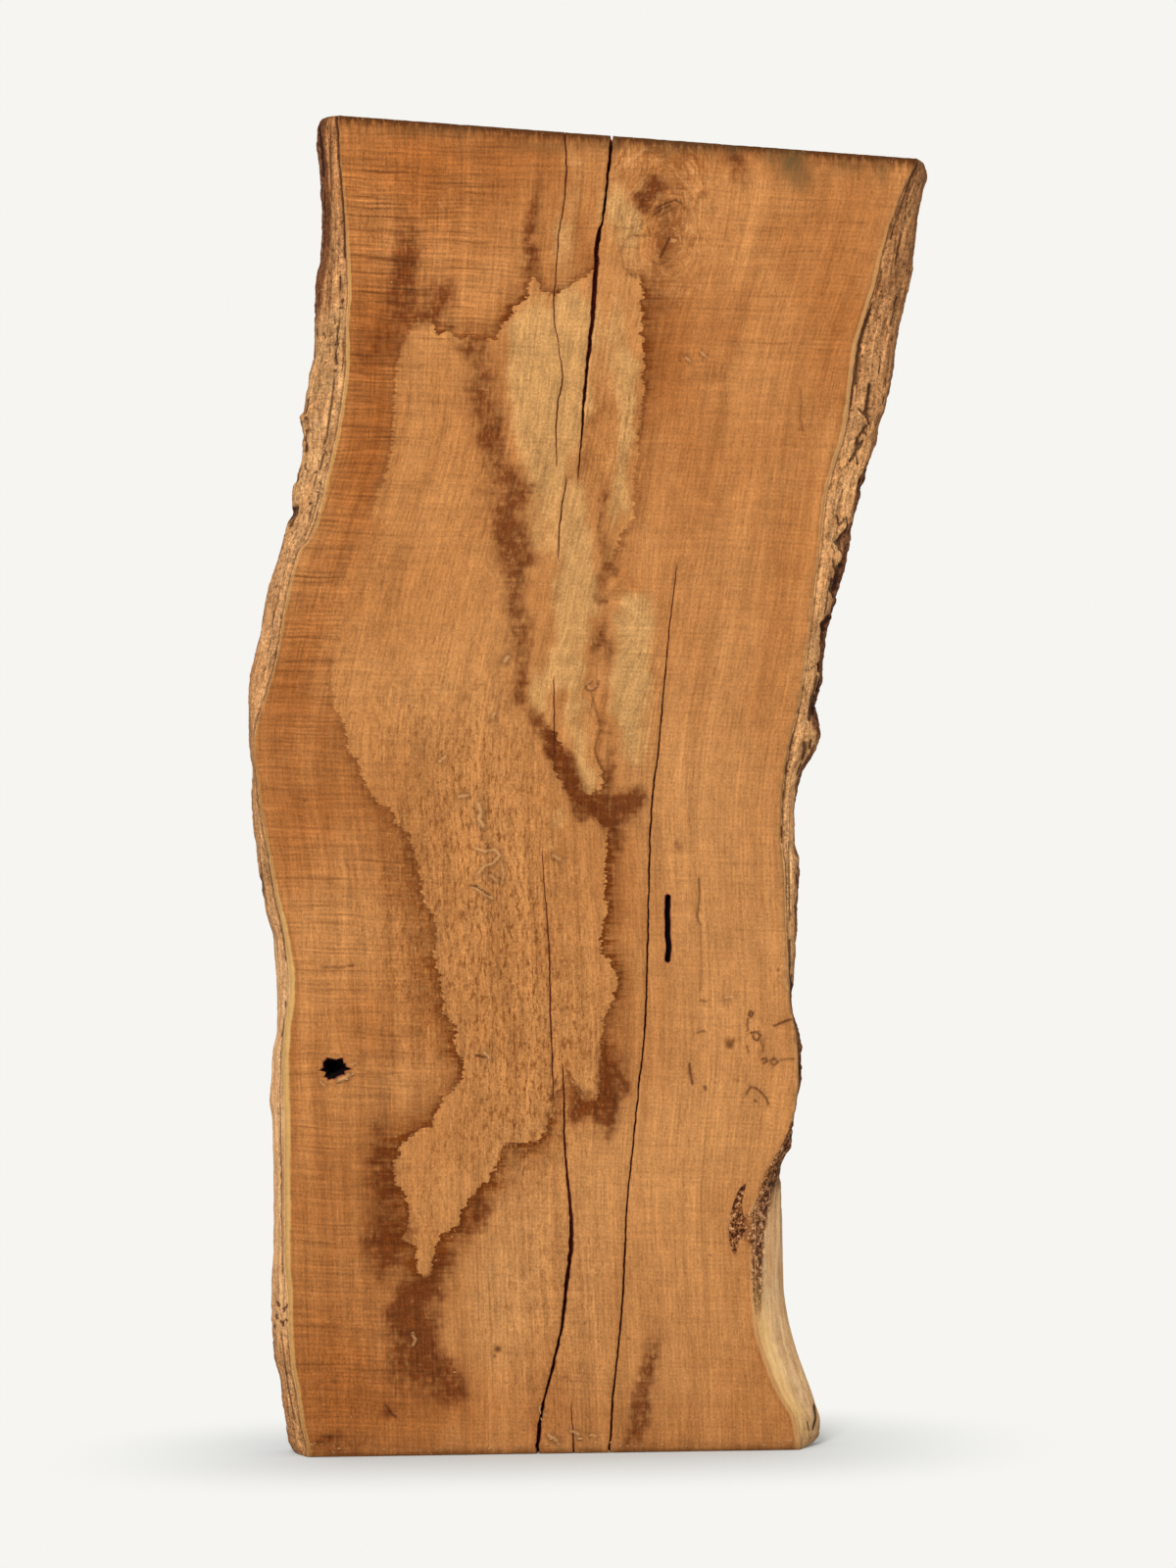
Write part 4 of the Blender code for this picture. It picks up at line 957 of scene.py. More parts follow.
    # seen from the front, right and down make a clockwise frame
    flip = area > 0
    faces[flip] = faces[flip][:, ::-1]
    used = np.zeros(len(verts), bool)
    used[faces.ravel()] = True
    new = used & (s < 0)
    relief = features["relief"](verts[new, 0], verts[new, 1])
    mark = features["mark"](verts[new, 0], verts[new, 1])
    zz = z[new] + relief * (z[new] == 0)
    ids = np.array(s)
    ids[new] = net.add(
        verts[new, 0], verts[new, 1], depth_here + inward * zz, kind, deep=t[new], mark=mark,
        across=np.full(new.sum(), 0.0 if kind == FACE else 1.0),
    )
    tri = ids[faces]
    if kind == BACK:
        tri = tri[:, ::-1]
    net.put(tri, kind)
    back = np.full(len(all_pts), -1)
    ok = source >= 0
    back[source[ok]] = ids[ok]
    return {end: back[np.array(ends[end][0])] for end in (TOP, FOOT)}


def ring(points, about, scale, depth, t, per=1, seed=0):
    p = np.asarray(points, float)
    if per > 1:
        q = np.roll(p, -1, axis=0)
        p = np.concatenate([(p + (q - p) * k / per)[:, None] for k in range(per)], axis=1).reshape(-1, 2)
    c = np.asarray(about, float)
    p = c + (p - c) * scale
    wob = 1 + 0.10 * noise(np.arange(len(p)) * 0.9, 0.02 * depth, seed)
    p = c + (p - c) * wob[:, None]
    return p[:, 0], p[:, 1], depth, t, True


MM = 0.001 / UNIT
knot_rings = [
    ring(KNOT_MOUTH, KNOT_AT, 1.13, 0.0, 0.0, 3, 1),
    ring(KNOT_MOUTH, KNOT_AT, 1.0, 0.5, 0.35, 3, 1),
    ring(KNOT_MOUTH, KNOT_AT, 0.955, 1.6, 1.6, 3, 1),
    ring(KNOT_MOUTH, KNOT_AT, 0.82, 7.0, 1.9, 3, 1),
    ring(KNOT_MOUTH, KNOT_AT, 0.55, 20.0, 2.0, 3, 1),
    ring(KNOT_MOUTH, KNOT_AT, 0.28, 34 * MM, 2.0, 3, 1),
]
knot_rings.append((np.array([KNOT_AT[0]]), np.array([KNOT_AT[1]]), 35 * MM, 2.0, False))


def stadium(grow, depth, t):
    x, top, foot, wide, _ = GALLERY
    r = wide / 2 + grow
    y0, y1 = top + wide / 2, foot - wide / 2
    pts = []
    for k in range(9):
        a = math.pi * (1 + k / 8)
        pts.append((x + r * math.cos(a), y0 + r * math.sin(a)))
    for k in range(1, 24):
        pts.append((x + r, y0 + (y1 - y0) * k / 24))
    for k in range(9):
        a = math.pi * k / 8
        pts.append((x + r * math.cos(a), y1 + r * math.sin(a)))
    for k in range(1, 24):
        pts.append((x - r, y1 - (y1 - y0) * k / 24))
    p = np.array(pts)
    p[:, 0] += 0.45 * noise(p[:, 1] / 5, 0, 303) + 1.0 * np.exp(-(((p[:, 1] - 968) / 9) ** 2)) - 0.5
    return p[:, 0], p[:, 1], depth, t, True


gallery_rings = [
    stadium(1.3, 0.0, 0.0), stadium(0.0, 0.5, 0.35), stadium(-0.45, 3.0, 1.7), stadium(-0.9, 9.0, 2.0), stadium(-1.9, 12 * MM, 2.0),
]


def track_points(path, spacing=1.0):
    p = np.asarray(path, float)
    out = []
    for a, b in zip(p[:-1], p[1:]):
        n = max(1, int(np.hypot(*(b - a)) / spacing))
        out += [a + (b - a) * k / n for k in range(n)]
    out.append(p[-1])
    return np.array(out)


fine_zones = []
for path, width, _, _ in TRACKS:
    q = track_points(path)
    fine_zones.append((q[:, 0], q[:, 1], width + 1.2))
for path, width, _, _ in FIBRES:
    q = track_points(path)
    fine_zones.append((q[:, 0], q[:, 1], width + 1.0))
for x, y, r, _, _ in PITS:
    fine_zones.append((np.array([x]), np.array([y]), r + 1.8))
pocket_box = np.array([(x, y) for y in range(1204, 1280) for x in range(740, 774)], float)
pocket_box = pocket_box[polygon_distance(pocket_box, POCKET) > -1.0]
fine_zones.append((pocket_box[:, 0], pocket_box[:, 1], 0.8))


def face_relief(right, down):
    z = 0.30 * fbm(right / 90, down / 120, 211, 3)
    top = down - end_line(UPPER_END, right)
    z = z + np.exp(-np.clip(top, 0, None) / 9.0) * (0.5 + 0.9 * fbm(right / 5, down / 9, 223, 3))
    foot = end_line(LOWER_END, right) - down
    z = z + np.exp(-np.clip(foot, 0, None) / 5.0) * (0.25 + 0.5 * fbm(right / 6, down / 6, 229, 2))
    tear = np.exp(-((right - 365) / 40) ** 2) * step(300, 180, down) + 0.5 * np.exp(-((right - 300) / 40) ** 2)
    z = z + 0.35 * tear * noise(right / 26, down / 4.2, 231)
    for path, width, depth, _ in TRACKS:
        d = path_distance(right, down, path)
        z = z + depth * MM * np.exp(-((d / (0.62 * width)) ** 2))
    for path, width, height, _ in FIBRES:
        d = path_distance(right, down, path)
        z = z - height * MM * np.exp(-((d / (0.55 * width)) ** 2))
        z = z + 0.5 * height * MM * np.exp(-(((d - 1.3 * width) / (0.5 * width)) ** 2))
    for x, y, r, depth, _ in PITS:
        z = z + depth * MM * np.exp(-(((right - x) ** 2 + (down - y) ** 2) / (0.8 * r * r)))
    near = (right > 735) & (right < 778) & (down > 1200) & (down < 1284)
    if near.any():
        inside = polygon_distance(np.stack([right[near], down[near]], axis=1), POCKET)
        z[near] += step(-0.8, 1.6, inside) * (1.6 + 2.2 * fbm(right[near] / 3.2, down[near] / 3.6, 233, 3))
    clear = np.minimum(right - np.interp(down, *LIP_L), np.interp(down, *LIP_R) - right)
    return np.maximum(z * step(0, 5, clear), -1.1)


def face_mark(right, down):
    m = np.zeros(len(right))
    for path, width, _, dark in TRACKS:
        m = np.maximum(m, min(1.0, 1.5 * dark) * np.exp(-((path_distance(right, down, path) / (0.80 * max(width, 1.6))) ** 2)))
    # painted shadow: a dark ring in the dip beside each raised fibre
    for path, width, _, pale in FIBRES:
        near = (path_distance(right, down, path) - 1.35 * width) / (0.6 * width)
        m = np.maximum(m, 0.55 * pale * np.exp(-near ** 2))
    # painted shade in the pits
    for x, y, r, _, dark in PITS:
        m = np.maximum(m, dark * np.exp(-(((right - x) ** 2 + (down - y) ** 2) / (0.9 * r * r))))
    return m


LIGHT = roughen(LIGHT_WOOD, 2.6, 3.0, 401)
front_ends = build_face(
    FACE, 0.0, 1.0, (LIP_L, LIP_R), (grids[-1]["ids"][:, 0], grids[1]["ids"][:, 0]),
    {
        "cracks": [(k, v) for k, v in CHECKS.items()] + [("hair%d" % k, h) for k, h in enumerate(HAIRS)],
        "rings": [knot_rings, gallery_rings],
        "fine": fine_zones,
        "relief": face_relief,
        "mark": face_mark,
    },
    5.6, 501, LIGHT,
)

BACK_CHECKS = {
    "behind a": [
        (150, 655, 2.4, 12), (220, 652, 2.8, 14), (300, 648, 2.2, 12), (370, 640, 1.6, 8), (430, 636, 0.8, 3),
    ],
    "behind b": [
        (980, 540, 0.8, 3), (1060, 545, 1.8, 8), (1160, 548, 2.8, 13), (1260, 550, 3.2, 15),
        (1370, 546, 3.2, 16), (1495, 540, 3.6, 18),
    ],
    "behind c": [(620, 500, 0.7, 2), (680, 497, 1.5, 6), (760, 495, 1.6, 7), (840, 499, 1.3, 5), (900, 502, 0.7, 2)],
}


def back_relief(right, down):
    z = 0.30 * fbm(right / 90, down / 120, 241, 3)
    clear = np.minimum(right - np.interp(down, *REAR_L), np.interp(down, *REAR_R) - right)
    return np.maximum(z * step(0, 8, clear), -0.3)


back_ends = build_face(
    BACK, DEEP, -1.0, (REAR_L, REAR_R), (grids[-1]["ids"][:, -1], grids[1]["ids"][:, -1]),
    {
        "cracks": list(BACK_CHECKS.items()),
        "relief": back_relief,
        "mark": lambda r, d: np.zeros(len(r)),
    },
    9.5, 601, None,
)


# ---------------------------------------------------------------- sawn ends
def gathered(name):
    return np.concatenate(getattr(net, name))


g_right, g_down, g_depth = gathered("right"), gathered("down"), gathered("depth")
for end, line in ((TOP, UPPER_END), (FOOT, LOWER_END)):
    row = 0 if end == TOP else -1
    fore, aft = front_ends[end], back_ends[end]
    left_col = grids[-1]["ids"][row, 1:-1]
    right_col = grids[1]["ids"][row, 1:-1]
    loop = list(fore) + list(right_col) + list(aft[::-1]) + list(left_col[::-1])
    loop = np.array(loop)
    px, pz = g_right[loop], g_depth[loop]
    n = len(loop)
    edges = [(k, (k + 1) % n) for k in range(n)]
    polygon = np.stack([px, pz], axis=1)
    gx, gz = np.meshgrid(np.arange(px.min(), px.max(), 5.2), np.arange(2.6, DEEP - 2, 5.0))
    gx = (gx + 1.1 * lattice(np.round(gx * 7).astype(np.int64), np.round(gz * 7).astype(np.int64), 5)).ravel()
    gz = gz.ravel() + 0.9 * lattice(np.round(gx * 5).astype(np.int64), np.round(gz.ravel() * 9).astype(np.int64), 6)
    inner = np.stack([gx, gz], axis=1)
    inner = inner[polygon_distance(inner, polygon) > 2.3]
    allp = np.concatenate([polygon, inner])
    out = delaunay_2d_cdt([Vector(p) for p in allp.tolist()], edges, [], 0, 1e-6, True)
    verts = np.array([(v.x, v.y) for v in out[0]])
    faces = np.array(out[2], np.int64)
    source = np.array([o[0] if len(o) else -1 for o in out[3]])
    centre = verts[faces].mean(axis=1)
    faces = faces[polygon_distance(centre, polygon) > 0]
    ids = np.where((source >= 0) & (source < n), loop[np.clip(source, 0, n - 1)], -1)
    fresh = ids < 0
    used = np.zeros(len(verts), bool)
    used[faces.ravel()] = True
    fresh &= used
    fx, fz = verts[fresh, 0], verts[fresh, 1]
    inward = 1.0 if end == TOP else -1.0
    cut = end_line(line, fx) + inward * (0.35 + 0.35 * fbm(fx / 9, fz / 7, 701 + end, 3)) * step(0, 4, polygon_distance(verts[fresh], polygon))
    new_ids = net.add(fx, cut, fz, end, across=fz / DEEP)
    ids[np.where(fresh)[0]] = new_ids
    a = verts[faces]
    area = (a[:, 1, 0] - a[:, 0, 0]) * (a[:, 2, 1] - a[:, 0, 1]) - (a[:, 1, 1] - a[:, 0, 1]) * (a[:, 2, 0] - a[:, 0, 0])
    flip = (area < 0) if end == TOP else (area > 0)
    faces[flip] = faces[flip][:, ::-1]
    net.put(ids[faces], end)

net.close()
kind, down, right, depth = net.kind, net.down, net.right, net.depth
extra = net.extra


# ================================================================ numbers for the materials
def lip_l(d):
    return np.interp(d, *LIP_L)


def lip_r(d):
    return np.interp(d, *LIP_R)


# the wood goes on through the thickness: deeper places are read a little off their own spot
through = np.clip(depth / DEEP, 0, 1)
look_right = right + through * (16 * noise(down / 210, 0.3, 801) + 10)
look_down = down + through * (30 * noise(down / 260, 0.7, 803) - 24)
gone = step(0.5, 1.0, through)
bent_right = look_right + 9 * fbm(right / 24, down / 38, 811, 3) + 3 * fbm(right / 8, down / 9, 813, 2)
bent_down = look_down + 14 * fbm(right / 17, down / 44, 817, 3) + 4 * fbm(right / 7, down / 12, 819, 2)
spots = np.stack([look_right, look_down], axis=1)
light = np.full(net.count, -60.0)
need = (kind == FACE) | (kind == BACK) | (kind == TOP) | (kind == FOOT)
light[need] = polygon_distance(spots[need], LIGHT)
halo_spots = np.array(HALO)
halo_weight = np.zeros(net.count)
halo_strength = np.zeros(net.count)
halo_width = np.zeros(net.count)
for x, y, strength, width in HALO:
    w = 1.0 / (((look_right - x) ** 2 + (look_down - y) ** 2 + 60.0) ** 2)
    halo_weight += w
    halo_strength += w * strength
    halo_width += w * width
halo_strength /= halo_weight
halo_width /= halo_weight
smear = blobs(bent_right, bent_down, SMEARS, 1.05) * (1 - 0.35 * gone)
gold = blobs(bent_right, bent_down, GOLD)
orange = blobs(bent_right, bent_down, ORANGE)
paler = blobs(bent_right, bent_down, PALER)
grey = blobs(right, down, [(x, y, rx, ry, 0, s) for x, y, rx, ry, s in GREY])
left_in = np.where(kind == RIGHT, 400.0, right - lip_l(down))
right_in = np.where(kind == LEFT, 400.0, lip_r(down) - right)
left_in = np.clip(left_in, -80, 120)
right_in = np.clip(right_in, -80, 120)
# pale sapwood beside each lip: width and strength of the band
sap_l = table([(112, 2), (230, 2.5), (420, 3), (560, 2.5), (700, 2), (880, 3), (945, 4), (1000, 5.5),
               (1060, 6), (1120, 6), (1250, 6), (1330, 5), (1370, 4), (1490, 3.5)], down)
sap_l_on = table([(112, .1), (225, .35), (300, .8), (420, .65), (520, .5), (600, .45), (700, .25),
                  (880, .5), (945, .95), (1000, 1), (1060, 1), (1120, .95), (1200, .9), (1320, .85),
                  (1350, .8), (1400, .7), (1450, .5), (1490, .4)], down)
sap_r = table([(156, 2), (260, 3), (420, 4), (560, 3), (700, 3), (800, 4), (880, 6), (1050, 5),
               (1150, 4), (1200, 5), (1483, 5)], down)
sap_r_on = table([(156, .1), (240, .35), (300, .75), (440, .8), (560, .45), (700, .35), (790, .25),
                  (900, .12), (1060, .3), (1150, .35), (1200, .6), (1300, .6), (1400, .7), (1483, .7)], down)
saw = table([(112, .5), (190, 1), (380, 1), (480, .75), (700, .6), (1000, .45), (1490, .5)], down)
across_face = np.clip((right - lip_l(down)) / np.maximum(lip_r(down) - lip_l(down), 1), 0, 1)
saw = saw * (0.22 + 0.78 * step(0.42, 0.10, across_face)) + 0.10
saw = np.where(kind == BACK, 0.8 - 0.4 * across_face, saw)
saw = saw * (1 - 0.6 * step(0, 6, light))
# the grain runs with the edges, and parts round the knots
smooth_l = table([(112, 345), (400, 348), (620, 290), (760, 266), (900, 282), (1100, 292), (1490, 306)], down)
smooth_r = table([(156, 930), (400, 864), (620, 834), (850, 800), (1050, 806), (1240, 790), (1483, 800)], down)
grain = (right - smooth_l) / (smooth_r - smooth_l) * 520
grain += through * 30
for x, y, rx, ry, push_ in (
    (681, 236, 26, 44, 16), (632, 628, 34, 50, 18), (341, 1091, 16, 22, 12), (583, 675, 22, 22, 7),
    (604, 701, 8, 9, 4), (682, 945, 7, 50, 3), (508, 1378, 5, 10, 2),
):
    u, v = (right - x) / rx, (down - y) / ry
    grain -= push_ * np.tanh(u * 2.2) * np.exp(-(u * u + v * v) * 0.8)
swirl = blobs(right, down, [(681, 236, 24, 42, 14, 1.0), (632, 628, 26, 40, 0, .9), (341, 1091, 14, 16, 0, .7)])
pocket = polygon_distance(np.stack([right, down], axis=1)[(kind == FACE)], POCKET)
pocket_on = np.zeros(net.count)
pocket_on[kind == FACE] = step(-0.5, 0.8, pocket)
mottle = blobs(look_right, look_down, [
    (510, 960, 74, 190, 0, 1.0), (470, 820, 60, 80, 20, .8), (560, 1060, 60, 100, 0, .9),
    (540, 1130, 40, 50, 0, .8), (490, 1170, 50, 50, 0, .6), (430, 1240, 24, 50, 0, .6),
    (430, 980, 30, 90, 0, .7), (480, 720, 60, 60, 0, .35), (500, 560, 60, 60, 0, .25),
    (560, 1320, 60, 130, 0, .45), (400, 740, 40, 40, 0, .4), (620, 415, 36, 30, 0, .45),
    (620, 470, 34, 40, 0, .40), (500, 450, 40, 60, 0, .35), (400, 200, 80, 70, 0, .30),
    (350, 620, 60, 120, 0, .30), (360, 1400, 60, 80, 0, .4), (400, 950, 60, 120, 0, .35),
])
strip_at = table([(1120, 818), (1150, 812), (1172, 803), (1190, 793), (1210, 784), (1235, 777),
                  (1260, 773.5), (1300, 773), (1340, 774), (1380, 777)], down)
strip_wide = table([(1120, 3), (1150, 7), (1172, 9), (1190, 10), (1215, 9.5), (1240, 10), (1262, 8),
                    (1300, 6), (1335, 4.5), (1380, 1)], down)
strip = np.exp(-(((right - strip_at) / strip_wide) ** 2)) * step(1118, 1150, down) * step(1372, 1320, down)
strip *= ((kind == FACE) | ((kind == RIGHT) & (extra["across"] < 0.55)))
bridge = blobs(right, down, [(761, 1246, 11, 13, 0, .95), (764, 1262, 9, 10, 0, .8), (757, 1262, 8, 6, 0, .6)]) * (kind == FACE)
strip = np.maximum(strip, 0.62 * bridge)
edge_tan = np.where(
    kind == LEFT,
    table([(112, .22), (290, .34), (330, .62), (440, .80), (520, .62), (700, .45), (930, .45), (1000, .6),
           (1340, .55), (1380, .35), (1490, .3)], down),
    table([(156, .46), (300, .56), (440, .66), (600, .74), (800, .72), (1030, .78), (1150, .5), (1220, .7),
           (1483, .8)], down),
)
outer_brown = np.where(
    kind == LEFT,
    table([(112, 1), (280, .95), (330, .35), (400, .15), (700, .2), (1490, .25)], down)
    * step(14, 5, right - table(LEFT_OUTLINE, down)),
    table([(156, .30), (250, .32), (420, .25), (480, .28), (800, .3), (1150, .4), (1250, .1), (1483, .3)], down)
    * step(7, 1, table(RIGHT_OUTLINE, down) - right),
)
outer_brown = np.where((kind == LEFT) | (kind == RIGHT), outer_brown, 0)
edge_pale = np.zeros(net.count)
edge_pink = np.zeros(net.count)
m = kind == LEFT
out_l = -left_in
edge_pale[m] = (
    table([(112, .25), (200, .35), (300, .35), (400, .5), (520, .5), (600, .45), (700, .3), (930, .35),
           (1000, .8), (1120, .7), (1340, .6), (1380, .25), (1490, .3)], down) * step(.75, .2, extra["across"])
)[m]
edge_pink[m] = (
    table([(112, .0), (320, .15), (420, .3), (500, .6), (560, .95), (690, .85), (760, .4), (930, .4),
           (1000, .75), (1340, .8), (1400, .35), (1490, .2)], down) * step(.8, .35, extra["across"])
)[m]
m = kind == RIGHT
edge_pale[m] = (
    table([(156, .25), (300, .3), (450, .45), (600, .55), (780, .6), (830, .75), (1030, .6), (1150, .4),
           (1200, .6), (1240, .95), (1400, 1), (1483, .9)], down)
    * step(.95, .3, extra["across"])
)[m]
edge_pink[m] = (
    table([(156, .0), (450, .25), (700, .45), (850, .45), (1150, .3), (1250, .12), (1430, .2), (1450, .8),
           (1483, .9)], down) * step(.9, .4, extra["across"])
)[m]

# ================================================================ mesh
points = in_frame(right, down, depth)
points[:, 2] = np.maximum(points[:, 2], 0.0)
mesh = bpy.data.meshes.new("locust_slab")
count, faces = net.count, net.faces
mesh.vertices.add(count)
mesh.vertices.foreach_set("co", points.astype(np.float32).ravel())
mesh.loops.add(len(faces) * 3)
mesh.loops.foreach_set("vertex_index", faces.astype(np.int32).ravel())
mesh.polygons.add(len(faces))
mesh.polygons.foreach_set("loop_start", (np.arange(len(faces)) * 3).astype(np.int32))
mesh.polygons.foreach_set("loop_total", np.full(len(faces), 3, np.int32))
material_of = {FACE: 0, BACK: 0, LEFT: 1, RIGHT: 1, TOP: 2, FOOT: 2}
lookup = np.array([material_of[k] for k in range(6)], np.int32)
mesh.polygons.foreach_set("material_index", lookup[net.face_kind])
mesh.polygons.foreach_set("use_smooth", np.ones(len(faces), bool))
mesh.update(calc_edges=True)


def attribute(name, a, b=None, c=None):
    zero = np.zeros(count)
    data = np.stack([a, zero if b is None else b, zero if c is None else c], axis=1)
    item = mesh.attributes.new(name, "FLOAT_VECTOR", "POINT")
    item.data.foreach_set("vector", data.astype(np.float32).ravel())


attribute("place", right, down, depth)
attribute("grain", grain, down, swirl)
attribute("light", light, halo_strength, halo_width)
attribute("stain", smear, gold, orange)
attribute("wear", grey, mottle, saw)
# the cut's depth, which sets the painted shade and painted light in it; the marks, with painted shade in the pits and
# painted shadow beside the raised fibres; the pocket
attribute("cut", extra["deep"], extra["mark"], pocket_on)
attribute("rim", left_in, right_in, through)
top_in = np.clip(down - end_line(UPPER_END, right), -5, 120)
foot_in = np.clip(end_line(LOWER_END, right) - down, -5, 120)
attribute("sap", sap_l * np.where(kind == BACK, 3, 1), sap_r * np.where(kind == BACK, 3, 1), top_in)
attribute("sap_on", sap_l_on, sap_r_on, foot_in)
# the second number is painted shade in the edges' cracks, crevices and pits
attribute("bark", extra["bark"], extra["dark"], extra["bare"])
attribute("skin", edge_pale, edge_pink, extra["fibre"])
attribute("broad", paler, strip, outer_brown)
pale_mark = np.zeros(count)
f = kind == FACE
for path, width, _, pale in FIBRES:
    pale_mark[f] = np.maximum(pale_mark[f], pale * np.exp(-((path_distance(right[f], down[f], path) / (0.7 * width)) ** 2)))
warm = np.where(
    kind == LEFT,
    table([(112, 1), (260, .8), (330, .35), (480, .30), (560, .55), (700, .7), (1000, .5), (1350, .5), (1400, .8), (1490, .9)], down),
    table([(156, 1), (400, .9), (520, .7), (700, .6), (900, .7), (1150, .8), (1210, .3), (1300, 0), (1483, 0)], down),
)
attribute("tan", edge_tan, pale_mark, warm)
whorl_r = np.hypot(right - 679, (down - 232) * 0.58)
whorl_t = np.arctan2(right - 679, down - 232)
whorl_on = blobs(right, down, [(681, 232, 46, 66, 0, 1.0), (660, 168, 46, 34, 0, .9), (705, 160, 40, 26, 0, .8)])
# painted light: how much the edge colours are brightened where an edge turns away from the show face and gets less
# light, and how much calmer the inner bark is there
lift = np.where(
    kind == LEFT,
    table([(112, .06), (280, .04), (330, .0), (560, .04), (700, .16), (900, .28), (1340, .34), (1420, .30), (1490, .22)], down),
    table([(156, .02), (300, .06), (430, .18), (480, .42), (560, .50), (700, .54), (860, .50), (1030, .4), (1150, .2),
           (1200, 0), (1483, 0)], down),
)
calm = np.where(
    kind == LEFT,
    table([(112, .35), (280, .45), (330, .85), (560, .9), (700, .85), (900, .9), (1320, .95), (1380, .85), (1490, .65)], down),
    table([(156, .3), (300, .35), (430, .55), (480, .85), (860, .85), (1000, .7), (1100, .4), (1483, .4)], down),
)
natural = (kind == LEFT) | (kind == RIGHT)
turned = step(.85, .45, extra["across"])
attribute("whorl_and_edge_light", np.where(natural, lift * turned, whorl_r), whorl_t * 40, np.where(natural, calm * turned, whorl_on))

# the layout of the baked colour: the show face gets the most room
uv = mesh.uv_layers.new(name="OFBake")
corner = faces.ravel()
corner_kind = np.repeat(net.face_kind, 3)
cr, cd, cz = right[corner], down[corner], depth[corner]
u = np.zeros(len(corner))
v = np.zeros(len(corner))
tall = (1496 - cd) / (1496 - 108)
for k, (u0, u1, v0, v1) in {
    FACE: (0.005, 0.535, 0.005, 0.995), BACK: (0.545, 0.805, 0.12, 0.995),
    LEFT: (0.815, 0.900, 0.005, 0.995), RIGHT: (0.910, 0.995, 0.005, 0.995),
    TOP: (0.545, 0.805, 0.065, 0.112), FOOT: (0.545, 0.805, 0.005, 0.055),
}.items():
    m = corner_kind == k
    if k in (FACE, BACK):
        s, t = (cr[m] - 250) / 700, tall[m]
    elif k in (LEFT, RIGHT):
        s, t = cz[m] / DEEP, tall[m]
    else:
        s, t = (cr[m] - 250) / 700, cz[m] / DEEP
    u[m] = u0 + (u1 - u0) * np.clip(s, 0, 1)
    v[m] = v0 + (v1 - v0) * np.clip(t, 0, 1)
uv.data.foreach_set("uv", np.stack([u, v], axis=1).astype(np.float32).ravel())

slab = bpy.data.objects.new("locust_slab", mesh)
bpy.context.scene.collection.objects.link(slab)


# ================================================================ materials
VEIL = 0.0035
SHADE = 0.56      # the light on the show face is a little over 1, so the paints are that much darker
HUE = (0.975, 0.945, 0.94)


def paint(r, g, b, k=SHADE):
    out = []
    for c, gain in zip((r, g, b), HUE):
        c = c / 255
        out.append(max((c / 12.92 if c <= 0.04045 else ((c + 0.055) / 1.055) ** 2.4) * k * gain - VEIL, 0.002))
    return (*out, 1.0)


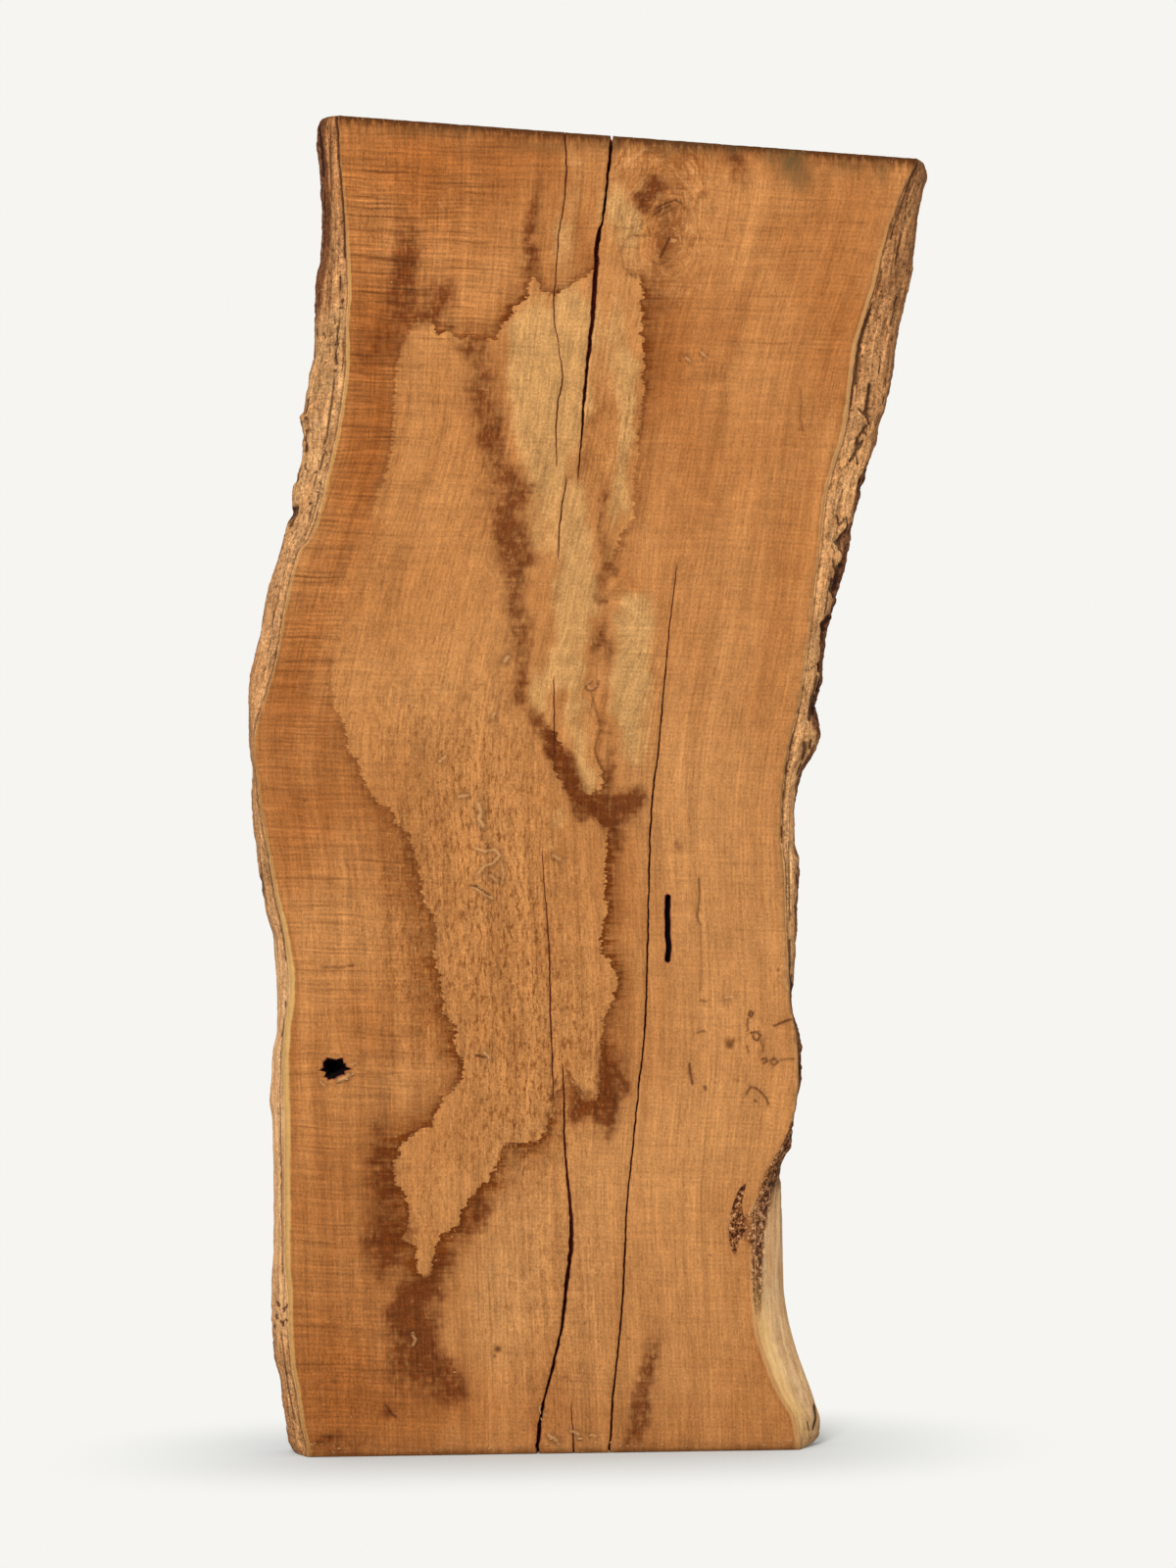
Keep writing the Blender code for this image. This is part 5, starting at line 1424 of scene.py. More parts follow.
class Graph:
    """A small helper that writes node trees as sums."""

    def __init__(self, name):
        self.material = bpy.data.materials.new(name)
        self.material.use_nodes = True
        self.tree = self.material.node_tree
        self.shader = self.tree.nodes["Principled BSDF"]

    def node(self, kind, **settings):
        n = self.tree.nodes.new(kind)
        for k, v in settings.items():
            setattr(n, k, v)
        return n

    def feed(self, socket, value):
        if isinstance(value, bpy.types.NodeSocket):
            self.tree.links.new(value, socket)
        else:
            socket.default_value = value

    def math(self, op, a, b=None, c=None, clamp=False):
        n = self.node("ShaderNodeMath", operation=op, use_clamp=clamp)
        for i, x in enumerate((a, b, c)):
            if x is not None:
                self.feed(n.inputs[i], x)
        return n.outputs[0]

    def add(self, *xs):
        out = xs[0]
        for x in xs[1:]:
            out = self.math("ADD", out, x)
        return out

    def sub(self, a, b):
        return self.math("SUBTRACT", a, b)

    def mul(self, *xs):
        out = xs[0]
        for x in xs[1:]:
            out = self.math("MULTIPLY", out, x)
        return out

    def clamp(self, a):
        return self.math("ADD", a, 0.0, clamp=True)

    def attr(self, name):
        n = self.node("ShaderNodeAttribute", attribute_name=name, attribute_type="GEOMETRY")
        s = self.node("ShaderNodeSeparateXYZ")
        self.tree.links.new(n.outputs["Vector"], s.inputs[0])
        return s.outputs[0], s.outputs[1], s.outputs[2]

    def vec(self, x, y, z=0.0):
        n = self.node("ShaderNodeCombineXYZ")
        for i, v in enumerate((x, y, z)):
            self.feed(n.inputs[i], v)
        return n.outputs[0]

    def noise(self, x, y, z=0.0, scale=(1, 1, 1), detail=3.0, rough=0.55, warp=0.0):
        """Noise from -1 to 1 (about)."""
        v = self.vec(self.mul(x, scale[0]), self.mul(y, scale[1]),
                     self.mul(z, scale[2]) if isinstance(z, bpy.types.NodeSocket) else z)
        n = self.node("ShaderNodeTexNoise", noise_dimensions="3D")
        self.feed(n.inputs["Vector"], v)
        n.inputs["Scale"].default_value = 1.0
        n.inputs["Detail"].default_value = detail
        n.inputs["Roughness"].default_value = rough
        n.inputs["Distortion"].default_value = warp
        return self.mul(self.sub(n.outputs[0], 0.5), 2.6)

    def ramp(self, x, low, high, to_low=0.0, to_high=1.0, smooth=True):
        n = self.node("ShaderNodeMapRange", interpolation_type="SMOOTHSTEP" if smooth else "LINEAR")
        for i, v in enumerate((x, low, high, to_low, to_high)):
            self.feed(n.inputs[i], v)
        return n.outputs[0]

    def mix(self, factor, a, b, blend="MIX"):
        n = self.node("ShaderNodeMix", data_type="RGBA", blend_type=blend, clamp_factor=True)
        self.feed(n.inputs[0], factor)
        self.feed(n.inputs[6], a)
        self.feed(n.inputs[7], b)
        return n.outputs[2]

    def shade(self, colour, factor):
        """The colour times a number."""
        n = self.node("ShaderNodeVectorMath", operation="SCALE")
        self.feed(n.inputs[0], colour)
        self.feed(n.inputs["Scale"], factor)
        return n.outputs[0]

    def finish(self, colour, height, roughness, specular=0.05):
        self.feed(self.shader.inputs["Base Color"], colour)
        self.feed(self.shader.inputs["Roughness"], roughness)
        self.shader.inputs["Specular IOR Level"].default_value = specular
        n = self.node("ShaderNodeBump")
        n.inputs["Strength"].default_value = 1.0
        n.inputs["Distance"].default_value = 0.001
        self.feed(n.inputs["Height"], height)
        self.tree.links.new(n.outputs[0], self.shader.inputs["Normal"])
        return self.material


def sawn_face():
    g = Graph("locust_sawn_face")
    right, down, depth = g.attr("place")
    grain, _, swirl = g.attr("grain")
    light, halo_on, halo_wide = g.attr("light")
    smear, gold, orange = g.attr("stain")
    grey, mottle, saw = g.attr("wear")
    deep, mark, pocket = g.attr("cut")
    left_in, right_in, through = g.attr("rim")
    sap_l, sap_r, top_in = g.attr("sap")
    sap_l_on, sap_r_on, foot_in = g.attr("sap_on")
    paler, strip, _ = g.attr("broad")
    _, pale_mark, _ = g.attr("tan")
    whorl_r, whorl_t, whorl_on = g.attr("whorl_and_edge_light")
    whorl_on = g.mul(whorl_on, g.sub(1.0, g.mul(smear, 0.75)))
    deeper = g.mul(depth, 0.03)

    streak = g.noise(grain, down, deeper, (0.30, 0.011, 1), 3, 0.6)
    hairs = g.noise(grain, down, deeper, (0.62, 0.040, 1), 2, 0.6)
    bands = g.noise(grain, down, deeper, (0.070, 0.0030, 1), 3, 0.55, 0.3)
    slant = g.add(down, g.mul(right, -0.035), g.mul(g.noise(right, down, 0.0, (0.010, 0.012, 1), 2, 0.5), 4.0))
    lines = g.noise(right, slant, deeper, (0.011, 0.250, 1), 1.5, 0.6)
    dashes = g.noise(right, slant, deeper, (0.034, 0.345, 1), 1.5, 0.6)
    wide_lines = g.noise(right, slant, deeper, (0.007, 0.085, 1), 2, 0.5)
    fuzz = g.noise(right, down, deeper, (0.44, 0.38, 1), 2, 0.7)
    rake = g.noise(grain, down, deeper, (0.40, 0.0050, 1), 2, 0.6)
    weave = g.noise(right, slant, deeper, (0.10, 0.36, 1), 1, 0.5)
    warp = g.noise(grain, down, deeper, (0.36, 0.085, 1), 1, 0.5)
    clouds = g.noise(right, down, deeper, (0.011, 0.008, 1), 3, 0.5)
    patches = g.noise(right, down, deeper, (0.05, 0.035, 1), 3, 0.6)
    tearing = g.noise(right, down, deeper, (0.045, 0.27, 1), 2, 0.6)
    ragged = g.noise(right, down, deeper, (0.20, 0.18, 1), 2, 0.6)
    strokes = g.noise(right, down, deeper, (0.030, 0.17, 1), 3, 0.65)
    tufts = g.noise(right, down, deeper, (0.16, 0.10, 1), 3, 0.65)
    # the saw left lines at an even pitch, stronger here and weaker there
    strength = g.ramp(g.noise(right, slant, 5.0, (0.016, 0.060, 1), 2, 0.6), -0.75, 0.75)
    pitch = g.math("SINE", g.add(g.mul(slant, 1.36), g.mul(g.noise(right, down, 2.0, (0.006, 0.030, 1), 2, 0.6), 3.0)))
    pitch = g.mul(pitch, strength)
    uprights = g.math("SINE", g.add(g.mul(grain, 1.55), g.mul(g.noise(right, down, 4.0, (0.05, 0.006, 1), 2, 0.6), 3.4)))
    uprights = g.mul(uprights, g.ramp(g.noise(grain, down, 9.0, (0.10, 0.014, 1), 2, 0.6), -0.6, 0.8))

    colour = g.mix(g.ramp(g.add(clouds, g.mul(bands, 0.6)), -0.8, 0.8), paint(178, 115, 63), paint(197, 136, 80))
    colour = g.mix(g.mul(paler, 0.80), colour, paint(206, 149, 92))
    early = g.ramp(g.add(light, g.mul(tearing, 4.0), g.mul(ragged, 3.0)), -1.5, 1.5)
    near_tide = g.mul(early, g.ramp(halo_on, 0.10, 0.24))
    colour = g.mix(g.mul(orange, g.sub(0.9, g.mul(near_tide, 0.62))), colour, paint(155, 88, 40))
    golden = g.ramp(g.add(gold, g.mul(patches, 0.26), g.mul(bands, 0.12), g.mul(tufts, 0.10)), 0.24, 0.74)
    colour = g.mix(g.mul(golden, 0.82), colour, paint(200, 155, 98))

    # lighter wood with its torn, stained border
    edge = g.add(light, g.mul(tearing, 5.0), g.mul(ragged, 3.6))
    crisp = g.ramp(halo_on, 0.05, 0.26)
    blur = g.add(1.1, g.mul(g.sub(1.0, crisp), 20.0))
    inside = g.ramp(edge, g.mul(blur, -1.0), blur)
    colour = g.mix(g.mul(inside, 0.20), colour, paint(204, 148, 88))
    soft = g.math("MAXIMUM", g.mul(g.add(light, g.mul(tearing, 4.0), g.mul(strokes, 7.0), g.mul(patches, 7.0), g.mul(ragged, 2.0)), -1.0), 0.0)
    reach = g.math("DIVIDE", soft, g.mul(halo_wide, 1.15))
    fade = g.math("POWER", 2.718, g.mul(reach, -1.0))
    halo = g.mul(fade, g.sub(1.0, inside), halo_on)
    halo = g.mul(halo, g.add(1.05, g.mul(lines, 0.50), g.mul(strokes, 0.45), g.mul(tufts, 0.45)))
    colour = g.mix(g.clamp(g.mul(halo, 1.25)), colour, paint(120, 64, 26))
    core = g.mul(g.math("POWER", 2.718, g.mul(g.math("MAXIMUM", g.mul(edge, -1.0), 0.0), -0.34)), g.sub(1.0, inside), halo_on, crisp)
    colour = g.mix(g.mul(g.clamp(g.mul(core, g.add(1.0, g.mul(fuzz, 0.9)))), 0.88), colour, paint(84, 42, 18))

    # soft dark smears
    worn = g.mul(smear, g.add(1.0, g.mul(patches, 0.40), g.mul(lines, 0.22), g.mul(strokes, 0.45), g.mul(tufts, 0.80), g.mul(hairs, 0.22), g.mul(fuzz, 0.45)))
    colour = g.mix(g.mul(g.ramp(worn, 0.02, 0.78), 0.92), colour, paint(104, 53, 22))

    # mottled fibres
    fibres = g.noise(right, down, deeper, (0.26, 0.085, 1), 3, 0.7)
    dots = g.noise(right, down, deeper, (0.36, 0.17, 1), 2, 0.6)
    colour = g.mix(g.mul(g.ramp(fibres, -0.06, 0.36), g.mul(mottle, 0.80)), colour, paint(124, 69, 31))
    colour = g.mix(g.mul(g.ramp(g.mul(dots, -1.0), 0.05, 0.60), g.mul(mottle, 0.42)), colour, paint(216, 162, 102))

    # fibres that curl round the knot near the upper end
    bend = g.mul(g.noise(right, down, 6.0, (0.045, 0.04, 1), 2, 0.6), 9.0)
    curl = g.noise(g.add(whorl_r, bend), g.add(whorl_t, g.mul(bend, 2.0)), 0.0, (0.24, 0.060, 1), 3, 0.7, 0.8)
    heart = g.ramp(g.add(whorl_r, g.mul(tufts, 5.0)), 22.0, 15.0)
    colour = g.mix(g.clamp(g.mul(heart, g.add(0.40, g.mul(curl, 0.50)))), colour, paint(136, 80, 40))
    colour = g.mix(g.mul(g.ramp(curl, 0.0, 0.40), g.mul(whorl_on, 0.62)), colour, paint(124, 70, 33))
    colour = g.mix(g.mul(g.ramp(g.mul(curl, -1.0), 0.06, 0.44), g.mul(whorl_on, 0.52)), colour, paint(224, 170, 110))

    # grain, saw lines and fuzz
    texture = g.add(
        g.mul(streak, 0.110), g.mul(hairs, 0.080), g.mul(bands, 0.075), g.mul(fuzz, 0.170),
        g.mul(patches, g.add(0.075, g.mul(golden, 0.05))), g.mul(lines, g.mul(saw, 0.165)), g.mul(dashes, g.mul(saw, 0.115)),
        g.mul(wide_lines, g.mul(saw, 0.120)), g.mul(weave, g.add(0.014, g.mul(saw, 0.030))), g.mul(warp, 0.060),
        g.mul(pitch, g.add(0.004, g.mul(saw, 0.070))), g.mul(uprights, g.add(0.014, g.mul(saw, 0.014))),
        g.mul(rake, g.add(0.035, g.mul(paler, 0.075))),
    )
    texture = g.mul(texture, g.add(1.0, g.mul(mottle, 0.35), g.mul(golden, 0.25), g.mul(smear, 0.55)))
    colour = g.shade(colour, g.math("POWER", g.math("MAXIMUM", g.add(0.985, texture), 0.3), 2.2))
    scratches = g.ramp(dashes, 0.26, 0.70)
    colour = g.mix(g.mul(scratches, g.mul(saw, 0.15)), colour, paint(206, 148, 92))
    grooves = g.ramp(g.mul(lines, -1.0), 0.20, 0.58)
    colour = g.mix(g.mul(grooves, g.mul(saw, 0.50)), colour, paint(116, 62, 28))
    pores = g.ramp(g.noise(grain, down, deeper, (0.50, 0.065, 1), 1.5, 0.5), 0.28, 0.70)
    colour = g.mix(g.mul(pores, g.sub(0.48, g.mul(golden, 0.22))), colour, paint(126, 73, 36))
    specks = g.ramp(g.noise(right, down, deeper, (0.33, 0.28, 1), 1.5, 0.6), 0.42, 0.80)
    colour = g.mix(g.mul(specks, 0.55), colour, paint(112, 63, 31))
    dust = g.ramp(g.noise(right, down, 7.0, (0.40, 0.36, 1), 1.5, 0.6), 0.48, 0.82)
    colour = g.mix(g.mul(dust, g.sub(0.30, g.mul(mottle, 0.12))), colour, paint(220, 172, 118))

    # pale sapwood beside the lips, and a thin line of inner bark
    wiggle = g.mul(g.noise(down, depth, 0.0, (0.055, 0.1, 1), 3, 0.6), 1.5)
    for inn, wide, on, pale in (
        (left_in, sap_l, sap_l_on, paint(222, 180, 112)), (right_in, sap_r, sap_r_on, paint(212, 168, 112)),
    ):
        far = g.math("DIVIDE", g.add(inn, wiggle), wide)
        band = g.mul(g.ramp(far, 1.12, 0.72), on)
        colour = g.mix(g.mul(band, g.add(0.78, g.mul(streak, 0.30))), colour, pale)
        beside = g.mul(g.ramp(far, 2.3, 1.3), g.ramp(far, 0.9, 1.3), on)
        colour = g.mix(g.mul(beside, 0.32), colour, paint(140, 84, 44))

    # the torn, weathered upper rim and the foot
    brush = g.noise(right, down, 0.0, (0.22, 0.045, 1), 3, 0.7)
    fringe = g.ramp(g.add(top_in, g.mul(brush, 16.0)), 19.0, 3.0)
    colour = g.mix(g.mul(fringe, g.add(0.66, g.mul(fuzz, 0.30))), colour, paint(108, 62, 32))
    hem = g.ramp(g.add(top_in, g.mul(brush, 6.0)), 8.0, 2.0)
    colour = g.mix(g.mul(hem, g.add(0.80, g.mul(fuzz, 0.20))), colour, paint(78, 46, 28))
    fluff = g.mul(fringe, g.ramp(g.noise(right, down, 0.0, (0.55, 0.12, 1), 3, 0.6), 0.2, 0.6))
    colour = g.mix(g.mul(fluff, 0.55), colour, paint(202, 150, 100))
    base = g.ramp(g.add(foot_in, g.mul(tufts, 9.0)), 13.0, 0.0)
    colour = g.mix(g.mul(base, g.add(0.45, g.mul(fuzz, 0.25))), colour, paint(126, 76, 42))
    litter = g.mul(g.ramp(g.add(foot_in, g.mul(ragged, 9.0)), 24.0, 2.0), g.ramp(g.noise(right, down, 3.0, (0.26, 0.26, 1), 2, 0.7), 0.30, 0.60))
    colour = g.mix(g.mul(litter, 0.60), colour, paint(222, 178, 130))
    colour = g.mix(g.clamp(g.mul(grey, g.add(0.95, g.mul(brush, 0.65), g.mul(fuzz, 0.30)))), colour, paint(96, 78, 50))

    # bits of bark in the pocket
    speck = g.noise(right, down, g.mul(depth, 0.2), (0.235, 0.20, 1), 2, 0.75)
    bits = g.mix(g.ramp(speck, -0.22, 0.02), paint(58, 31, 21), paint(142, 88, 52))
    bits = g.mix(g.ramp(speck, 0.10, 0.36), bits, paint(216, 168, 120))
    torn = g.ramp(g.add(g.math("MAXIMUM", pocket, g.mul(strip, 1.0)), g.mul(speck, 0.45), g.mul(fuzz, 0.15)), 0.36, 0.58)
    colour = g.mix(g.mul(torn, 0.95), colour, bits)

    # the marks: dark tracks, painted shade in the pits and painted shadow beside the raised fibres
    colour = g.mix(g.mul(mark, 0.88), colour, paint(72, 36, 19))
    colour = g.mix(g.mul(pale_mark, 0.70), colour, paint(216, 168, 114))
    # painted shade and painted light in the cuts: darker at the mouths of the checks, the walls painted brighter than
    # the face to make up for the little light that reaches them, and the knot hole and the gallery near black as shade
    colour = g.mix(g.mul(g.ramp(deep, 0.08, 0.38), 0.72), colour, paint(108, 52, 36))
    colour = g.mix(g.ramp(deep, 0.40, 0.95), colour, paint(158, 78, 66, 1.0))
    colour = g.mix(g.ramp(deep, 1.05, 1.5), colour, paint(58, 28, 22))
    colour = g.mix(g.ramp(deep, 1.55, 1.75), colour, paint(30, 18, 18))

    height = g.add(
        g.mul(lines, g.mul(saw, 0.08)), g.mul(pitch, g.mul(saw, 0.10)), g.mul(uprights, 0.04), g.mul(wide_lines, g.mul(saw, 0.10)), g.mul(streak, 0.07),
        g.mul(hairs, 0.05), g.mul(fuzz, 0.09), g.mul(fibres, g.mul(mottle, -0.18)),
        g.mul(dots, g.mul(mottle, -0.10)), g.mul(speck, g.mul(torn, 0.9)), g.mul(fringe, g.mul(brush, 0.5)),
        g.mul(core, -0.14), g.mul(pores, -0.12), g.mul(dashes, g.mul(saw, 0.09)), g.mul(curl, g.mul(whorl_on, -0.22)),
        g.mul(litter, 0.3),
    )
    rough = g.add(0.84, g.mul(fuzz, 0.05), g.mul(smear, -0.05))
    return g.finish(colour, height, rough)


def live_edge():
    g = Graph("locust_live_edge")
    right, down, depth = g.attr("place")
    bark, dark, bare = g.attr("bark")
    pale, pink, fibre = g.attr("skin")
    left_in, right_in, through = g.attr("rim")
    sap_l, sap_r, top_in = g.attr("sap")
    sap_l_on, sap_r_on, foot_in = g.attr("sap_on")
    deep, mark, pocket = g.attr("cut")

    _, strip, brown = g.attr("broad")
    tan, _, warm = g.attr("tan")
    lift, _, calm = g.attr("whorl_and_edge_light")
    long_fibre = g.noise(depth, down, right, (0.17, 0.016, 0.10), 3, 0.65, 0.2)
    fine_fibre = g.noise(depth, down, right, (0.34, 0.050, 0.20), 2, 0.65)
    lumps = g.noise(depth, down, right, (0.07, 0.035, 0.05), 3, 0.6)
    grit = g.noise(depth, down, right, (0.24, 0.27, 0.20), 2, 0.75)
    fine_grit = g.noise(depth, down, right, (0.42, 0.42, 0.35), 1.5, 0.7)
    spots = g.noise(depth, down, right, (0.13, 0.12, 0.12), 3, 0.65)
    cross = g.noise(depth, down, right, (0.09, 0.26, 0.08), 2, 0.6)
    woody = g.sub(1.0, g.mul(bare, 0.80))

    colour = g.mix(g.ramp(g.add(tan, g.mul(long_fibre, 0.40), g.mul(lumps, 0.28), -0.5), -0.5, 0.5), paint(124, 72, 40), paint(212, 160, 108))
    colour = g.mix(g.mul(warm, g.add(0.72, g.mul(lumps, 0.2))), colour, g.mix(g.ramp(g.add(long_fibre, g.mul(grit, 0.5)), -0.7, 0.7), paint(126, 68, 34), paint(214, 146, 90)))
    colour = g.mix(g.clamp(g.mul(pink, g.add(0.48, g.mul(lumps, 0.30), g.mul(long_fibre, -0.45)))), colour, paint(204, 146, 106))
    colour = g.mix(g.clamp(g.mul(pale, g.sub(1.0, g.mul(warm, 0.55)), g.add(0.55, g.mul(lumps, 0.50), g.mul(long_fibre, 0.55)))), colour, paint(230, 188, 136))
    colour = g.mix(g.mul(bare, 0.90), colour, g.mix(g.ramp(g.add(long_fibre, g.mul(lumps, 0.6)), -0.9, 0.9), paint(224, 172, 118), paint(246, 208, 156)))
    gold = g.mix(g.ramp(g.add(lumps, g.mul(fine_grit, 0.6)), -0.8, 0.8), paint(188, 134, 82), paint(218, 170, 112))
    colour = g.mix(g.mul(g.mul(calm, g.sub(1.0, bare)), 0.62), colour, gold)
    # painted light: brighter where the edge turns away from the light
    colour = g.shade(colour, g.add(1.0, g.mul(lift, 0.95)))
    colour = g.mix(g.mul(g.ramp(g.add(brown, g.mul(spots, 0.30), g.mul(long_fibre, 0.30)), 0.25, 0.70), 0.82), colour, paint(110, 63, 38))
    texture = g.add(
        g.mul(g.mul(fine_fibre, woody), 0.24), g.mul(g.mul(grit, woody), 0.34), g.mul(g.mul(long_fibre, woody), 0.20),
        g.mul(g.mul(spots, woody), 0.15), g.mul(g.mul(fine_grit, g.add(0.25, woody)), 0.16), g.mul(g.mul(cross, woody), 0.14),
        g.mul(g.sub(fibre, 0.62), 0.30), g.mul(g.mul(long_fibre, bare), 0.05),
    )
    colour = g.shade(colour, g.math("POWER", g.math("MAXIMUM", g.add(0.99, texture), 0.25), 2.2))
    quiet = g.sub(1.0, g.mul(calm, 0.72))
    colour = g.mix(g.mul(g.ramp(grit, 0.22, 0.52), g.mul(woody, g.sub(0.58, g.mul(calm, 0.22)))), colour, paint(112, 64, 36))
    colour = g.mix(g.mul(g.ramp(g.mul(spots, -1.0), 0.20, 0.60), g.mul(woody, 0.36)), colour, paint(226, 178, 130))
    threads = g.ramp(g.noise(depth, down, right, (0.22, 0.009, 0.12), 2, 0.6), 0.18, 0.42)
    colour = g.mix(g.mul(threads, g.mul(woody, quiet, 0.66)), colour, paint(104, 58, 34))
    # painted shade: dark in the small pits that the bump sinks in
    pits = g.ramp(g.noise(depth, down, right, (0.19, 0.20, 0.17), 1, 0.5), 0.46, 0.66)
    colour = g.mix(g.mul(pits, g.mul(woody, g.sub(0.80, g.mul(calm, 0.25)))), colour, paint(74, 39, 25))

    # bark: brown plates with a pinkish grit, and painted shade in its hollows
    skin = g.mix(g.ramp(g.add(spots, g.mul(lumps, 0.4)), -0.5, 0.5), paint(92, 54, 36), paint(160, 106, 70))
    skin = g.mix(g.mul(g.ramp(grit, 0.12, 0.50), 0.66), skin, paint(196, 146, 112))
    # painted shade: near black where the bump makes hollows
    skin = g.mix(g.mul(g.ramp(g.mul(grit, -1.0), 0.15, 0.50), 0.84), skin, paint(38, 21, 19))
    on = g.ramp(g.add(bark, g.mul(spots, 0.30), g.mul(grit, 0.18)), 0.38, 0.66)
    colour = g.mix(on, colour, skin)
    speck = g.noise(right, down, g.mul(depth, 0.2), (0.235, 0.20, 1), 2, 0.75)
    bits = g.mix(g.ramp(speck, -0.22, 0.02), paint(58, 31, 21), paint(146, 90, 54))
    bits = g.mix(g.ramp(speck, 0.10, 0.36), bits, paint(222, 174, 128))
    torn = g.ramp(g.add(g.mul(strip, 1.0), g.mul(speck, 0.45), g.mul(grit, 0.10)), 0.36, 0.58)
    colour = g.mix(g.mul(torn, 0.95), colour, bits)
    # painted shade: the edges' cracks, bark crevices and pits made near black
    painted_recess_shade = g.mul(dark, g.sub(1.0, g.mul(strip, 0.75)))
    colour = g.mix(g.mul(g.ramp(g.add(painted_recess_shade, g.mul(grit, g.mul(painted_recess_shade, 0.35))), 0.30, 0.70), g.sub(0.94, g.mul(calm, 0.16))), colour, paint(52, 27, 20))

    # the thin lines where inner bark and sapwood meet at the lip
    wiggle = g.mul(g.noise(down, depth, 0.0, (0.06, 0.1, 1), 3, 0.6), 0.8)
    lip = g.math("MINIMUM", g.math("ABSOLUTE", left_in), g.math("ABSOLUTE", right_in))
    lip = g.math("MAXIMUM", g.add(lip, wiggle), g.mul(depth, 0.28))
    keep = g.math("MAXIMUM", sap_l_on, sap_r_on)
    thin = g.mul(g.ramp(lip, 0.4, 1.4), g.ramp(lip, 3.6, 2.0))
    colour = g.mix(g.mul(thin, g.mul(woody, 0.56)), colour, paint(106, 60, 34))
    colour = g.mix(g.mul(g.ramp(lip, 1.6, 0.2), g.mul(keep, 0.7)), colour, paint(222, 174, 112))
    yolk = g.mul(g.ramp(lip, 18.0, 5.0), g.ramp(g.add(bare, g.mul(long_fibre, 0.3)), 0.35, 0.9), g.ramp(down, 1290.0, 1370.0))
    colour = g.mix(g.mul(yolk, 0.50), colour, paint(240, 196, 122))
    stained = g.ramp(g.add(foot_in, g.mul(spots, 8.0)), 26.0, 4.0)
    colour = g.mix(g.mul(stained, 0.22), colour, paint(144, 92, 60))
    weathered = g.ramp(g.add(top_in, g.mul(spots, 8.0)), 20.0, 0.0)
    colour = g.mix(g.mul(weathered, 0.30), colour, paint(84, 50, 32))

    height = g.add(
        g.mul(long_fibre, g.mul(woody, 0.45)), g.mul(fine_fibre, g.mul(woody, 0.30)), g.mul(grit, g.mul(woody, g.add(0.40, g.mul(on, 0.35)))),
        g.mul(spots, g.add(0.10, g.mul(on, 0.45))), g.mul(thin, -0.40), g.mul(threads, g.mul(woody, -0.40)),
        g.mul(cross, g.mul(woody, 0.15)), g.mul(torn, g.mul(speck, 0.8)), g.mul(pits, g.mul(woody, -0.5)),
        g.mul(long_fibre, g.mul(bare, 0.12)),
    )
    return g.finish(colour, height, g.add(0.84, g.mul(on, 0.10)), 0.05)


def end_grain():
    g = Graph("locust_end_grain")
    right, down, depth = g.attr("place")
    bark, dark, bare = g.attr("bark")
    deep, mark, pocket = g.attr("cut")
    left_in, right_in, through = g.attr("rim")
    smear, gold, orange = g.attr("stain")
    across = g.sub(right, 505.0)
    behind = g.add(depth, 250.0)
    radius = g.math("SQRT", g.add(g.mul(across, across), g.mul(behind, behind)))
    turn = g.math("ARCTAN2", across, behind)
    radius = g.add(radius, g.mul(g.noise(right, depth, 0.0, (0.012, 0.02, 1), 2, 0.5), 9.0))
    rings = g.noise(radius, 0.0, 3.0, (0.30, 1, 1), 2, 0.6)
    rays = g.noise(g.mul(turn, 260.0), radius, 0.0, (1.0, 0.03, 1), 2, 0.6)
    fuzz = g.noise(right, depth, 0.0, (0.6, 0.6, 1), 4, 0.7)
    cuts = g.noise(right, depth, 0.0, (0.30, 0.02, 1), 2, 0.5)
    clouds = g.noise(right, depth, 0.0, (0.02, 0.03, 1), 3, 0.5)
    colour = g.mix(g.ramp(rings, -0.6, 0.7), paint(128, 80, 46), paint(176, 122, 74))
    colour = g.mix(g.mul(g.ramp(clouds, -0.2, 1.0), 0.4), colour, paint(120, 74, 44))
    colour = g.mix(g.mul(gold, 0.3), colour, paint(192, 142, 88))
    pores = g.ramp(g.noise(right, depth, 0.0, (1.1, 1.1, 1), 2, 0.5), 0.45, 0.95)
    colour = g.mix(g.mul(pores, 0.5), colour, paint(76, 44, 26))
    colour = g.shade(colour, g.add(1.0, g.mul(rays, 0.05), g.mul(fuzz, 0.10), g.mul(cuts, 0.07)))
    near = g.math("MINIMUM", left_in, right_in)
    colour = g.mix(g.mul(g.ramp(g.add(near, g.mul(fuzz, 2.0)), 16.0, 7.0), 0.65), colour, paint(206, 162, 108))
    colour = g.mix(g.mul(g.ramp(g.add(near, g.mul(fuzz, 1.5)), 3.0, 0.0), 0.8), colour, paint(74, 48, 36))
    # painted shade in the checks where they reach the ends
    colour = g.mix(g.ramp(deep, 0.12, 0.75), colour, paint(36, 16, 18))
    height = g.add(g.mul(cuts, 0.15), g.mul(fuzz, 0.10), g.mul(rings, 0.05), g.mul(pores, -0.12))
    return g.finish(colour, height, 0.88, 0.05)


def loose_fibre():
    g = Graph("locust_sawdust")
    here = g.node("ShaderNodeTexCoord").outputs["Object"]
    parts = g.node("ShaderNodeSeparateXYZ")
    g.tree.links.new(here, parts.inputs[0])
    x, y, z = parts.outputs
    fine = g.noise(x, z, y, (900, 500, 900), 2, 0.6)
    broad = g.noise(x, z, y, (60, 60, 60), 2, 0.6)
    colour = g.mix(g.ramp(g.add(fine, broad), -0.7, 0.7), paint(158, 106, 64), paint(208, 160, 110))
    return g.finish(colour, g.mul(fine, 0.1), 0.9)


for material in (sawn_face(), live_edge(), end_grain()):
    mesh.materials.append(material)

